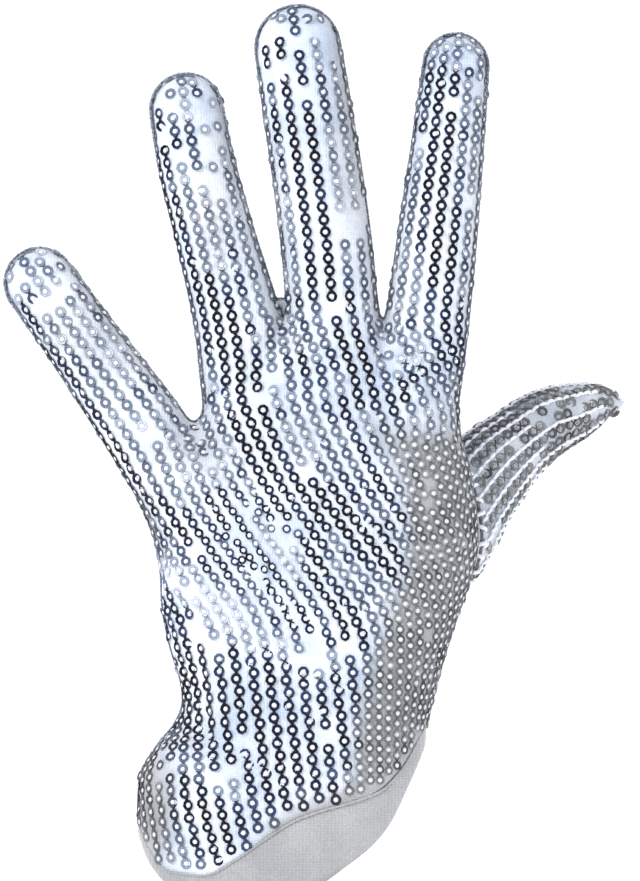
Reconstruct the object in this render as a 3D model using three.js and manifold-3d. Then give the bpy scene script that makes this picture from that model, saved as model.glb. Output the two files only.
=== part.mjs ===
// Dress glove for the left side, in the full form it has when worn, its cloth sewn all over with sequins.
// Millimetres. The fingers point along +Z, the thumb lies towards +X and the back faces -Y.
// The origin is the middle of the wrist opening.
import * as THREE from 'three';
import { mergeVertices } from 'three/addons/utils/BufferGeometryUtils.js';
import Module from 'manifold-3d';

// Driving dimensions
const CLOTH_WALL = 1.6;
const BAND_WALL = 2.0;
const SEAM_GAP = 0.3;
const FINGER_ROOT_GAP = 0.5;
const FINGER_FLATNESS = 0.86;
const THUMB_FLATNESS = 0.92;
const FINGER_JOIN_ROUNDING = 5;
const BODY_ROUNDING_SHARE = 0.97;

// Mesh density
const COLUMNS_A_FINGER = 8;
const FINGER_ROWS = 13;
const BODY_ROWS = 17;
const BAND_ROWS = 2;
const THUMB_COLUMNS = 10;
const FINGER_STEPS = 4;
const THUMB_STEPS = 2;

const BACK = -1;
const PALM = 1;

// Centre line and half width of each finger, from inside the body to the middle of the fingertip
const FINGERS = [
  { name: 'little', stations: [
    { x: -16, y: 0, z: 74, half: 10.0 },
    { x: -25, y: 0, z: 94, half: 11.0 },
    { x: -35.5, y: 0, z: 112, half: 11.0 },
    { x: -46, y: 0, z: 127, half: 10.2 },
    { x: -56, y: 1, z: 141, half: 9.5 },
    { x: -64.9, y: 3, z: 153.2, half: 9.3 },
  ] },
  { name: 'ring', stations: [
    { x: -7, y: 0, z: 100, half: 9.5 },
    { x: -9.5, y: 0, z: 122, half: 11.0 },
    { x: -12.1, y: 0, z: 143, half: 10.7 },
    { x: -17.3, y: 0, z: 165, half: 10.3 },
    { x: -22.3, y: 1.5, z: 184, half: 10.0 },
    { x: -25.3, y: 3.5, z: 200.0, half: 9.6 },
  ] },
  { name: 'middle', stations: [
    { x: 13, y: 0, z: 106, half: 9.5 },
    { x: 14.8, y: 0, z: 130, half: 11.5 },
    { x: 13.9, y: 0, z: 153, half: 11.6 },
    { x: 11, y: 0, z: 176, half: 11.8 },
    { x: 7.4, y: 0.5, z: 200, half: 11.6 },
    { x: 4.8, y: 2.5, z: 216.7, half: 11.3 },
  ] },
  { name: 'index', stations: [
    { x: 34, y: 0, z: 98, half: 9.5 },
    { x: 37, y: 0, z: 118, half: 10.3 },
    { x: 39.2, y: 0, z: 137, half: 10.8 },
    { x: 42.2, y: 0, z: 163, half: 10.4 },
    { x: 45, y: 1, z: 188, half: 9.5 },
    { x: 47.5, y: 2.5, z: 211.8, half: 8.6 },
  ] },
];

// Centre line and half width of the thumb, which reaches forward on the palm side
const THUMB_STATIONS = [
  { x: 24, y: -1, z: 60, half: 8.0 },
  { x: 33, y: 5, z: 72, half: 12.0 },
  { x: 43, y: 11, z: 83.5, half: 14.0 },
  { x: 50, y: 17, z: 93.5, half: 12.8 },
  { x: 57.5, y: 23, z: 102.7, half: 11.6 },
  { x: 64.3, y: 28, z: 109, half: 10.0 },
  { x: 72.9, y: 34, z: 115.2, half: 9.1 },
  { x: 81.5, y: 39.5, z: 118.6, half: 7.6 },
  { x: 88.1, y: 43, z: 120.8, half: 5.1 },
  { x: 93.8, y: 45.5, z: 121.2, half: 2.3 },
];

// Left and right edge and half depth of the body at each height
const BODY = [
  { z: -30, left: -37.0, right: 33.0, half: 22.5 },
  { z: 0, left: -38.0, right: 34.5, half: 23.0 },
  { z: 10, left: -38.2, right: 36.0, half: 23.0 },
  { z: 19, left: -37.8, right: 38.0, half: 22.4 },
  { z: 25, left: -35.2, right: 38.8, half: 21.6 },
  { z: 30, left: -31.6, right: 39.2, half: 21.0 },
  { z: 35, left: -27.6, right: 39.8, half: 20.2 },
  { z: 41, left: -26.0, right: 41.1, half: 19.2 },
  { z: 57, left: -30.0, right: 45.6, half: 16.6 },
  { z: 68, left: -31.8, right: 49.4, half: 15.2 },
  { z: 76, left: -32.0, right: 52.0, half: 14.5 },
  { z: 84, left: -32.5, right: 53.2, half: 14.0 },
  { z: 94, left: -34.6, right: 52.4, half: 13.5 },
  { z: 103, left: -37.6, right: 50.9, half: 13.2 },
  { z: 111, left: -39.0, right: 48.5, half: 12.9 },
  { z: 120, left: -40.0, right: 47.1, half: 12.6 },
  { z: 140, left: -40.0, right: 48.5, half: 12.0 },
];

// Top of the body behind the finger roots
const BODY_TOP = [
  { x: -60, z: 96 },
  { x: -38, z: 106 },
  { x: -25, z: 112 },
  { x: -8, z: 128 },
  { x: 2, z: 139 },
  { x: 15, z: 143 },
  { x: 27, z: 137 },
  { x: 40, z: 128 },
  { x: 60, z: 118 },
];

// Lower edge of the band, then its upper edge where the sequined cloth begins
const HEM_BACK = [
  { x: -38.2, z: 4 },
  { x: -34.8, z: -2.9 },
  { x: -28.9, z: -8.0 },
  { x: -13.5, z: -9.4 },
  { x: 3, z: -9.0 },
  { x: 10, z: -7.6 },
  { x: 17.6, z: -2.7 },
  { x: 25, z: 2.9 },
  { x: 29.7, z: 8.4 },
  { x: 35, z: 18.9 },
  { x: 38.8, z: 27 },
];
const HEM_PALM = [
  { x: -38.2, z: 4 },
  { x: -25, z: 4 },
  { x: 0, z: 8 },
  { x: 22, z: 17 },
  { x: 38.8, z: 27 },
];
const BAND_TOP_BACK = [
  { x: -38.2, z: 7.4 },
  { x: -34.8, z: 0.6 },
  { x: -28.9, z: -4.4 },
  { x: -20, z: -5.0 },
  { x: -12, z: -1.0 },
  { x: -4, z: 4.5 },
  { x: 4, z: 9.5 },
  { x: 12, z: 12.4 },
  { x: 19.4, z: 14.4 },
  { x: 27, z: 17.2 },
  { x: 33, z: 23 },
  { x: 38.8, z: 33 },
];
const BAND_TOP_PALM = [
  { x: -38.2, z: 7.4 },
  { x: -30, z: 11 },
  { x: -20, z: 15 },
  { x: 0, z: 21 },
  { x: 22, z: 29 },
  { x: 38.8, z: 33 },
];

// Rounded swellings and hollows of the two faces: middle, reach each way and height
const SWELLINGS = [
  { name: 'little knuckle', side: BACK, x: -29, z: 101, reachX: 7, reachZ: 8, lift: 1.4 },
  { name: 'ring knuckle', side: BACK, x: -8, z: 117, reachX: 7, reachZ: 9, lift: 1.6 },
  { name: 'middle knuckle', side: BACK, x: 14, z: 124, reachX: 8, reachZ: 9, lift: 2.2 },
  { name: 'index knuckle', side: BACK, x: 36, z: 118, reachX: 7, reachZ: 9, lift: 1.6 },
  { name: 'middle of the back', side: BACK, x: 12, z: 72, reachX: 22, reachZ: 26, lift: 2.2 },
  { name: 'blouse over the band', side: BACK, x: -24, z: 14, reachX: 12, reachZ: 12, lift: 2.4 },
  { name: 'thumb root', side: PALM, x: 30, z: 66, reachX: 14, reachZ: 22, lift: 5.0 },
  { name: 'heel below the little finger', side: PALM, x: -18, z: 60, reachX: 11, reachZ: 24, lift: 3.0 },
  { name: 'hollow of the palm', side: PALM, x: 6, z: 84, reachX: 11, reachZ: 18, lift: -2.6 },
];

// Pulled folds: ridge line from start to end, its half breadth and its height
const FOLDS = [
  { name: 'long slanting ridge', side: BACK, x0: -18, z0: 101, x1: 15, z1: 60, breadth: 3.6, lift: 1.9 },
  { name: 'valley beside it', side: BACK, x0: -26, z0: 96, x1: 8, z1: 56, breadth: 3.6, lift: -1.2 },
  { name: 'bright fold', side: BACK, x0: -30, z0: 75, x1: 17, z1: 53, breadth: 4.2, lift: 1.5 },
  { name: 'crease under bright fold', side: BACK, x0: -29, z0: 66, x1: 14, z1: 46, breadth: 3.6, lift: -1.0 },
  { name: 'upper bunched row', side: BACK, x0: 4, z0: 100, x1: 44, z1: 86, breadth: 3.4, lift: 1.4 },
  { name: 'lower bunched row', side: BACK, x0: 12, z0: 91, x1: 38, z1: 72, breadth: 3.4, lift: 1.2 },
  { name: 'valley between them', side: BACK, x0: 8, z0: 95, x1: 41, z1: 79, breadth: 3.0, lift: -1.0 },
  { name: 'left crease', side: BACK, x0: -26, z0: 60, x1: -20, z1: 34, breadth: 3.6, lift: -1.8 },
  { name: 'crease above the blouse', side: BACK, x0: -27, z0: 36, x1: -6, z1: 24, breadth: 4.4, lift: -2.0 },
  { name: 'index root wrinkle', side: BACK, x0: 32, z0: 133, x1: 47, z1: 128, breadth: 1.5, lift: 0.8 },
  { name: 'second index wrinkle', side: BACK, x0: 33, z0: 125, x1: 46, z1: 118, breadth: 1.5, lift: 0.7 },
  { name: 'little root wrinkle', side: BACK, x0: -34, z0: 118, x1: -24, z1: 105, breadth: 1.8, lift: 0.8 },
  { name: 'palm crease', side: PALM, x0: -22, z0: 96, x1: 26, z1: 103, breadth: 3.4, lift: -1.0 },
  { name: 'thumb crease', side: PALM, x0: 14, z0: 96, x1: 12, z1: 50, breadth: 3.8, lift: -1.2 },
];

// Where each space between fingers is looked for: a start above it and the way down into it
const WEBS = [
  { name: 'little and ring', x: -30, z: 136, downX: 6.5, downZ: -18 },
  { name: 'ring and middle', x: -3, z: 165, downX: 5, downZ: -17 },
  { name: 'middle and index', x: 27.5, z: 165, downX: 0.6, downZ: -20 },
];
const LITTLE_ROOT_HEIGHT = 104;
const INDEX_ROOT_HEIGHT = 142;

// Shares between rows and columns
const BODY_ROW_CROWDING = 1.3;
const FINGER_ROW_CROWDING = 1.45;
const TIP_ROWS = 5;
const MIDDLE_OF_BODY = 4;
const RELIEF_DEPTH = 12;
const SEARCH_STEP = 0.25;
const SEARCH_REACH = 60;
const SEARCH_TOLERANCE = 0.002;
const NORMAL_STEP = 0.05;
const ON_EDGE_TOLERANCE = 0.02;
const PATH_STEP = 0.02;
const FAR_FROM_FINGER = 26;
const LAST_TIP_ROW_SHARE = 0.985;
const SIDE_PULL_POWER = 4;

// The body's top slopes away, and the thumb's tube keeps a hollow down to its tip
const BODY_TOP_SLOPE = 0.8;
const THINNEST_HOLLOW = 0.3;
const THUMB_HOLLOW_STATIONS = 6;
const TIP_HOLLOW_REACH = 0.1;
const BLOCK_REACH = 60;

const lerp = (a, b, t) => a + (b - a) * t;

// Smooth curve through a table that never swings past its rows
function curveThrough(rows, across, up) {
  const x = rows.map((row) => row[across]);
  const y = rows.map((row) => row[up]);
  const width = x.slice(1).map((value, i) => value - x[i]);
  const rise = y.slice(1).map((value, i) => (value - y[i]) / width[i]);
  const slope = y.map((_, i) => {
    if (i === 0) return rise[0];
    if (i === y.length - 1) return rise[i - 1];
    if (rise[i - 1] * rise[i] <= 0) return 0;
    const before = 2 * width[i] + width[i - 1];
    const after = width[i] + 2 * width[i - 1];
    return (before + after) / (before / rise[i - 1] + after / rise[i]);
  });
  return (value) => {
    const at = Math.min(Math.max(value, x[0]), x[x.length - 1]);
    let i = 0;
    while (i < width.length - 1 && at > x[i + 1]) i += 1;
    const s = (at - x[i]) / width[i];
    const start = y[i] * (1 + 2 * s) * (1 - s) ** 2 + slope[i] * width[i] * s * (1 - s) ** 2;
    const end = y[i + 1] * s * s * (3 - 2 * s) + slope[i + 1] * width[i] * s * s * (s - 1);
    return start + end;
  };
}

// Smooth line through stations, with evenly shared steps between each pair
function smoothPath(stations, steps) {
  const keys = ['x', 'y', 'z', 'half'];
  const mirrored = (near, far) => Object.fromEntries(keys.map((key) => [key, 2 * near[key] - far[key]]));
  const last = stations.length - 1;
  const beforeFirst = mirrored(stations[0], stations[1]);
  const afterLast = mirrored(stations[last], stations[last - 1]);
  const points = [beforeFirst, ...stations, afterLast];
  const path = [];
  for (let i = 1; i < points.length - 2; i += 1) {
    for (let k = 0; k < steps; k += 1) {
      const t = k / steps;
      path.push(Object.fromEntries(keys.map((key) => {
        const [a, b, c, d] = points.slice(i - 1, i + 3).map((point) => point[key]);
        const bend = (2 * a - 5 * b + 4 * c - d) * t * t + (3 * b - a - 3 * c + d) * t ** 3;
        return [key, 0.5 * (2 * b + (c - a) * t + bend)];
      })));
    }
  }
  path.push(stations[last]);
  return path;
}

// Distance to a flattened tube round a path, below zero inside
function tubeField(path, flatness) {
  return (x, y, z) => {
    let nearest = Infinity;
    for (let i = 0; i < path.length - 1; i += 1) {
      const a = path[i];
      const b = path[i + 1];
      const alongX = b.x - a.x;
      const alongY = b.y - a.y;
      const alongZ = b.z - a.z;
      const length = alongX ** 2 + alongY ** 2 + alongZ ** 2;
      const share = ((x - a.x) * alongX + (y - a.y) * alongY + (z - a.z) * alongZ) / length;
      const t = Math.min(Math.max(share, 0), 1);
      const fromX = x - a.x - t * alongX;
      const fromY = (y - a.y - t * alongY) / flatness;
      const fromZ = z - a.z - t * alongZ;
      const distance = Math.hypot(fromX, fromY, fromZ) - lerp(a.half, b.half, t);
      nearest = Math.min(nearest, distance);
    }
    return nearest * Math.sqrt(flatness);
  };
}

function smoothUnion(a, b, rounding) {
  const share = Math.min(Math.max(0.5 + (0.5 * (b - a)) / rounding, 0), 1);
  return lerp(b, a, share) - rounding * share * (1 - share);
}

const bodyLeft = curveThrough(BODY, 'z', 'left');
const bodyRight = curveThrough(BODY, 'z', 'right');
const bodyHalf = curveThrough(BODY, 'z', 'half');
const bodyTop = curveThrough(BODY_TOP, 'x', 'z');
const fingerPaths = FINGERS.map((finger) => smoothPath(finger.stations, FINGER_STEPS));
const fingerFields = fingerPaths.map((path) => tubeField(path, FINGER_FLATNESS));

// The body is a rounded box whose edges and depth change with height
function bodyField(x, y, z) {
  const left = bodyLeft(z);
  const right = bodyRight(z);
  const halfDepth = bodyHalf(z);
  const halfWidth = (right - left) / 2;
  const round = Math.min(halfDepth, halfWidth) * BODY_ROUNDING_SHARE;
  const overX = Math.abs(x - (left + right) / 2) - (halfWidth - round);
  const overY = Math.abs(y) - (halfDepth - round);
  const overZ = (z - bodyTop(x)) * BODY_TOP_SLOPE + round;
  const outside = Math.hypot(Math.max(overX, 0), Math.max(overY, 0), Math.max(overZ, 0));
  return outside + Math.min(Math.max(overX, overY, overZ), 0) - round;
}

function swellingHeight(side, x, z) {
  return SWELLINGS.filter((form) => form.side === side).reduce((sum, form) => {
    const away = ((x - form.x) / form.reachX) ** 2 + ((z - form.z) / form.reachZ) ** 2;
    return sum + form.lift * Math.exp(-away);
  }, 0);
}

// A fold is tallest along its line and fades out past both ends
function foldHeight(side, x, z) {
  return FOLDS.filter((fold) => fold.side === side).reduce((sum, fold) => {
    const alongX = fold.x1 - fold.x0;
    const alongZ = fold.z1 - fold.z0;
    const length = Math.hypot(alongX, alongZ);
    const along = ((x - fold.x0) * alongX + (z - fold.z0) * alongZ) / length;
    const aside = ((x - fold.x0) * alongZ - (z - fold.z0) * alongX) / length;
    const past = Math.max(-along, along - length, 0);
    return sum + fold.lift * Math.exp(-((aside / fold.breadth) ** 2) - (past / (2 * fold.breadth)) ** 2);
  }, 0);
}

// The relief swells only the face of the glove, and leaves its side seams where they are
function relief(x, y, z) {
  const side = y < 0 ? BACK : PALM;
  const faceShare = Math.min(Math.abs(y) / RELIEF_DEPTH, 1) ** 2;
  return (swellingHeight(side, x, z) + foldHeight(side, x, z)) * faceShare;
}

function gloveField(x, y, z) {
  let distance = bodyField(x, y, z);
  fingerFields.forEach((field) => {
    distance = smoothUnion(distance, field(x, y, z), FINGER_JOIN_ROUNDING);
  });
  return distance - relief(x, y, z);
}

// Last place inside the glove when walking from a point along a direction
function surfaceAlong(from, direction) {
  const length = Math.hypot(direction.x, direction.y, direction.z);
  const at = (distance) => ({
    x: from.x + (direction.x / length) * distance,
    y: from.y + (direction.y / length) * distance,
    z: from.z + (direction.z / length) * distance,
  });
  const isInside = (distance) => {
    const point = at(distance);
    return gloveField(point.x, point.y, point.z) < 0;
  };
  const startsInside = isInside(0);
  let far = 0;
  while (far < SEARCH_REACH && isInside(far) === startsInside) far += SEARCH_STEP;
  let near = far - SEARCH_STEP;
  while (far - near > SEARCH_TOLERANCE) {
    const middle = (near + far) / 2;
    if (isInside(middle) === startsInside) near = middle;
    else far = middle;
  }
  return at((near + far) / 2);
}

function normalAt(point) {
  const slope = (x, y, z) => gloveField(point.x + x, point.y + y, point.z + z)
    - gloveField(point.x - x, point.y - y, point.z - z);
  const step = NORMAL_STEP;
  return new THREE.Vector3(slope(step, 0, 0), slope(0, step, 0), slope(0, 0, step)).normalize();
}

const roundShare = (i, count) => (1 - Math.cos((Math.PI * i) / count)) / 2;

// Point on a finger's centre line at a share of its length from station to station
function pathPoint(path, at) {
  const i = Math.min(Math.max(Math.floor(at), 0), path.length - 2);
  const t = at - i;
  const [a, b] = [path[i], path[i + 1]];
  return {
    x: lerp(a.x, b.x, t), y: lerp(a.y, b.y, t), z: lerp(a.z, b.z, t), half: lerp(a.half, b.half, t),
    alongX: b.x - a.x, alongZ: b.z - a.z,
  };
}

// Place on the path that lies beside a point
function besidePath(path, point) {
  let best = 0;
  let bestOff = Infinity;
  for (let at = 0; at <= path.length - 1; at += PATH_STEP) {
    const centre = pathPoint(path, at);
    const off = Math.abs((point.x - centre.x) * centre.alongX + (point.z - centre.z) * centre.alongZ);
    const near = Math.hypot(point.x - centre.x, point.z - centre.z) < FAR_FROM_FINGER;
    if (near && off < bestOff) {
      bestOff = off;
      best = at;
    }
  }
  return best;
}

// Side edge of a finger beside a place on its path: hand is -1 for the left edge and 1 for the right
function fingerEdge(path, at, hand) {
  const centre = pathPoint(path, at);
  return surfaceAlong(centre, { x: hand * centre.alongZ, y: 0, z: -hand * centre.alongX });
}

// Rows of one finger, from its root between two web points to the row before the tip
function fingerRows(path, leftRoot, rightRoot) {
  const leftStart = besidePath(path, leftRoot);
  const rightStart = besidePath(path, rightRoot);
  const tip = pathPoint(path, path.length - 1 - 1e-6);
  const tipLength = Math.hypot(tip.alongX, tip.alongZ);
  const rows = [];
  for (let row = 0; row < FINGER_ROWS - TIP_ROWS; row += 1) {
    const t = (row / (FINGER_ROWS - TIP_ROWS)) ** FINGER_ROW_CROWDING;
    const left = row === 0 ? leftRoot : fingerEdge(path, lerp(leftStart, path.length - 1, t), -1);
    const right = row === 0 ? rightRoot : fingerEdge(path, lerp(rightStart, path.length - 1, t), 1);
    rows.push({ left, right });
  }
  for (let row = 0; row < TIP_ROWS; row += 1) {
    const angle = (Math.PI / 2) * (row / TIP_ROWS);
    const forward = Math.sin(angle) * tip.half * LAST_TIP_ROW_SHARE;
    const centre = {
      ...tip,
      x: tip.x + (tip.alongX / tipLength) * forward,
      z: tip.z + (tip.alongZ / tipLength) * forward,
    };
    const edge = (hand) => surfaceAlong(centre, { x: hand * tip.alongZ, y: 0, z: -hand * tip.alongX });
    rows.push({ left: edge(-1), right: edge(1) });
  }
  const pole = surfaceAlong(tip, { x: tip.alongX, y: 0, z: tip.alongZ });
  return { rows, pole };
}

const webPoints = WEBS.map((web) => surfaceAlong(
  { x: web.x, y: 0, z: web.z },
  { x: web.downX, y: 0, z: web.downZ },
));
const sideOfBody = (z, hand) => surfaceAlong({ x: MIDDLE_OF_BODY, y: 0, z }, { x: hand, y: 0, z: 0 });
const roots = [sideOfBody(LITTLE_ROOT_HEIGHT, -1), ...webPoints, sideOfBody(INDEX_ROOT_HEIGHT, 1)];
const fingers = fingerPaths.map((path, i) => fingerRows(path, roots[i], roots[i + 1]));

const acrossRow = (row, share) => ({
  x: lerp(row.left.x, row.right.x, share),
  y: lerp(row.left.y, row.right.y, share),
  z: lerp(row.left.z, row.right.z, share),
});

// Flat layout of the body between the finger roots and a lower line
function bodyRows(lowerLine, rowCount, lift) {
  const columns = COLUMNS_A_FINGER * FINGERS.length;
  const lineHeight = curveThrough(lowerLine, 'x', 'z');
  const lowLeft = sideOfBody(lowerLine[0].z + lift, -1);
  const lowRight = sideOfBody(lowerLine[lowerLine.length - 1].z + lift, 1);
  const top = [];
  for (let column = 0; column <= columns; column += 1) {
    const finger = Math.min(Math.floor(column / COLUMNS_A_FINGER), FINGERS.length - 1);
    const share = roundShare(column - finger * COLUMNS_A_FINGER, COLUMNS_A_FINGER);
    top.push(acrossRow(fingers[finger].rows[0], share));
  }
  const bottom = top.map((_, column) => {
    const x = lerp(lowLeft.x, lowRight.x, roundShare(column, columns));
    return { x, y: 0, z: lineHeight(x) + lift };
  });
  bottom[0] = lowLeft;
  bottom[columns] = lowRight;
  const topShare = (column) => (top[column].x - top[0].x) / (top[columns].x - top[0].x);
  const rows = [];
  for (let row = 0; row <= rowCount; row += 1) {
    const down = (row / rowCount) ** BODY_ROW_CROWDING;
    const left = row === 0 ? top[0] : sideOfBody(lerp(top[0].z, lowLeft.z, down), -1);
    const right = row === 0 ? top[columns] : sideOfBody(lerp(top[columns].z, lowRight.z, down), 1);
    rows.push(top.map((_, column) => {
      const across = lerp(topShare(column), roundShare(column, columns), down);
      const coons = (key) => lerp(top[column][key], bottom[column][key], down)
        + lerp(left[key], right[key], across)
        - lerp(lerp(top[0][key], top[columns][key], across), lerp(lowLeft[key], lowRight[key], across), down);
      const z = coons('z');
      const leftEdge = sideOfBody(Math.min(z, top[0].z), -1).x;
      const rightEdge = sideOfBody(Math.min(z, top[columns].z), 1).x;
      const pulledLeft = (leftEdge - left.x) * (1 - across) ** SIDE_PULL_POWER;
      const pulledRight = (rightEdge - right.x) * across ** SIDE_PULL_POWER;
      return { x: coons('x') + pulledLeft + pulledRight, y: 0, z };
    }));
  }
  return rows;
}

// A flat layout's point brought out to one face of the glove, never past its side seam
function onFace(point, side) {
  const seam = point.y + (side * SEAM_GAP) / 2;
  const found = surfaceAlong({ ...point, y: seam }, { x: 0, y: side, z: 0 });
  const isOnEdge = gloveField(point.x, seam, point.z) > -ON_EDGE_TOLERANCE;
  return { x: point.x, y: isOnEdge ? seam : found.y, z: point.z };
}

const movedAlongNormal = (point, distance) => {
  const normal = normalAt(point);
  return {
    x: point.x + normal.x * distance,
    y: point.y + normal.y * distance,
    z: point.z + normal.z * distance,
  };
};

// Two triangles for each quad, cut along its shorter diagonal so that folds stay smooth
function splitQuads(quads, points) {
  const apart = (i, j) => Math.hypot(
    points[i].x - points[j].x,
    points[i].y - points[j].y,
    points[i].z - points[j].z,
  );
  return quads.flatMap(([a, b, c, d]) => (apart(a, c) < apart(b, d)
    ? [[a, b, c], [a, c, d]]
    : [[a, b, d], [b, c, d]]));
}

// The sheet of one whole panel: its points and its triangles
function panelLayout(side) {
  const lowerLine = side === BACK ? BAND_TOP_BACK : BAND_TOP_PALM;
  const rows = bodyRows(lowerLine, BODY_ROWS, SEAM_GAP);
  const flat = rows.flat();
  const quads = [];
  const tips = [];
  const columns = rows[0].length;
  for (let row = 0; row < BODY_ROWS; row += 1) {
    for (let column = 0; column < columns - 1; column += 1) {
      const corner = row * columns + column;
      quads.push([corner, corner + 1, corner + columns + 1, corner + columns]);
    }
  }
  fingers.forEach((finger, f) => {
    let below = Array.from({ length: COLUMNS_A_FINGER + 1 }, (_, i) => f * COLUMNS_A_FINGER + i);
    finger.rows.slice(1).forEach((row) => {
      const above = below.map((_, i) => flat.push(acrossRow(row, roundShare(i, COLUMNS_A_FINGER))) - 1);
      for (let i = 0; i < COLUMNS_A_FINGER; i += 1) {
        quads.push([above[i], above[i + 1], below[i + 1], below[i]]);
      }
      below = above;
    });
    const pole = flat.push(finger.pole) - 1;
    for (let i = 0; i < COLUMNS_A_FINGER; i += 1) tips.push([pole, below[i + 1], below[i]]);
  });
  const points = flat.map((point) => onFace(point, side));
  return { points, faces: [...splitQuads(quads, points), ...tips] };
}

// Edges that only one face uses, each in that face's own direction
function openEdges(faces) {
  const edges = new Map();
  faces.forEach((face) => face.forEach((from, i) => {
    const to = face[(i + 1) % 3];
    if (!edges.delete(`${to},${from}`)) edges.set(`${from},${to}`, [from, to]);
  }));
  return [...edges.values()];
}

// A closed solid between two matching sheets. The first sheet's faces look outward.
function solidBetween(outer, inner, faces) {
  const count = outer.length;
  const positions = [...outer, ...inner].flatMap((point) => [point.x, point.y, point.z]);
  const triangles = [...faces, ...faces.map(([a, b, c]) => [a + count, c + count, b + count])];
  openEdges(faces).forEach(([from, to]) => {
    triangles.push([to, from, from + count], [to, from + count, to + count]);
  });
  const geometry = new THREE.BufferGeometry();
  geometry.setAttribute('position', new THREE.Float32BufferAttribute(positions, 3));
  geometry.setIndex(triangles.flat());
  return geometry;
}

const facingOut = (faces, side) => (side === BACK ? faces.map(([a, b, c]) => [a, c, b]) : faces);

function panelShell(side) {
  const { points, faces } = panelLayout(side);
  const inner = points.map((point) => movedAlongNormal(point, -CLOTH_WALL));
  return solidBetween(points, inner, facingOut(faces, side));
}

// The filled form of the glove, one seam gap larger all round
function clearanceSolid() {
  const back = panelLayout(BACK);
  const palm = panelLayout(PALM);
  const backFace = back.points.map((point) => movedAlongNormal(point, SEAM_GAP));
  const palmFace = palm.points.map((point) => movedAlongNormal(point, SEAM_GAP));
  return solidBetween(backFace, palmFace, facingOut(back.faces, BACK));
}

// A block through the glove that holds all that lies below the finger roots
function belowFingers(lift) {
  const beyond = (end, next) => ({ x: 2 * end.x - next.x, z: 2 * end.z - next.z });
  const line = [beyond(roots[0], roots[1]), ...roots, beyond(roots.at(-1), roots.at(-2))];
  const shape = new THREE.Shape();
  shape.moveTo(line[0].x, -BLOCK_REACH);
  shape.lineTo(line.at(-1).x, -BLOCK_REACH);
  line.reverse().forEach((point) => shape.lineTo(point.x, point.z + lift));
  const block = new THREE.ExtrudeGeometry(shape, { depth: 2 * BLOCK_REACH, bevelEnabled: false });
  block.deleteAttribute('normal').deleteAttribute('uv');
  return block.rotateX(Math.PI / 2).translate(0, BLOCK_REACH, 0);
}

// The band is a closed ring: along the back from left to right, then along the palm side
function bandRing() {
  const columns = COLUMNS_A_FINGER * FINGERS.length;
  const ringRow = (share) => {
    const low = { [BACK]: HEM_BACK, [PALM]: HEM_PALM };
    const high = { [BACK]: BAND_TOP_BACK, [PALM]: BAND_TOP_PALM };
    const half = (side) => {
      const hem = curveThrough(low[side], 'x', 'z');
      const top = curveThrough(high[side], 'x', 'z');
      const first = sideOfBody(lerp(low[side][0].z, high[side][0].z, share), -1);
      const last = sideOfBody(lerp(low[side].at(-1).z, high[side].at(-1).z, share), 1);
      return Array.from({ length: columns + 1 }, (_, column) => {
        if (column === 0) return first;
        if (column === columns) return last;
        const x = lerp(first.x, last.x, roundShare(column, columns));
        return onFace({ x, y: 0, z: lerp(hem(x), top(x), share) }, side);
      });
    };
    return [...half(BACK), ...half(PALM).reverse().slice(1, -1)];
  };
  const points = Array.from({ length: BAND_ROWS + 1 }, (_, row) => ringRow(row / BAND_ROWS)).flat();
  const around = points.length / (BAND_ROWS + 1);
  const faces = [];
  for (let row = 0; row < BAND_ROWS; row += 1) {
    for (let i = 0; i < around; i += 1) {
      const next = (i + 1) % around;
      const [a, b] = [row * around + i, row * around + next];
      faces.push([a, b, b + around], [a, b + around, a + around]);
    }
  }
  const inner = points.map((point) => movedAlongNormal(point, -BAND_WALL));
  return solidBetween(points, inner, faces);
}

// Section frame of the thumb at a place on its path
function thumbFrame(path, i) {
  const before = path[Math.max(i - 1, 0)];
  const after = path[Math.min(i + 1, path.length - 1)];
  const along = new THREE.Vector3(after.x - before.x, after.y - before.y, after.z - before.z).normalize();
  const aside = new THREE.Vector3().crossVectors(along, new THREE.Vector3(0, 1, 0)).normalize();
  const deep = new THREE.Vector3().crossVectors(aside, along).normalize();
  return { along, aside, deep };
}

// One place on the thumb's tube, at an angle from its side seam
function thumbPoint(path, i, angle, wall) {
  const { aside, deep } = thumbFrame(path, i);
  const thinnest = path[i].half * THINNEST_HOLLOW;
  const halfWidth = Math.max(path[i].half - wall, thinnest);
  const halfDepth = Math.max(path[i].half - wall / THUMB_FLATNESS, thinnest) * THUMB_FLATNESS;
  const centre = new THREE.Vector3(path[i].x, path[i].y, path[i].z);
  return centre.addScaledVector(aside, Math.cos(angle) * halfWidth)
    .addScaledVector(deep, Math.sin(angle) * halfDepth);
}

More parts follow.
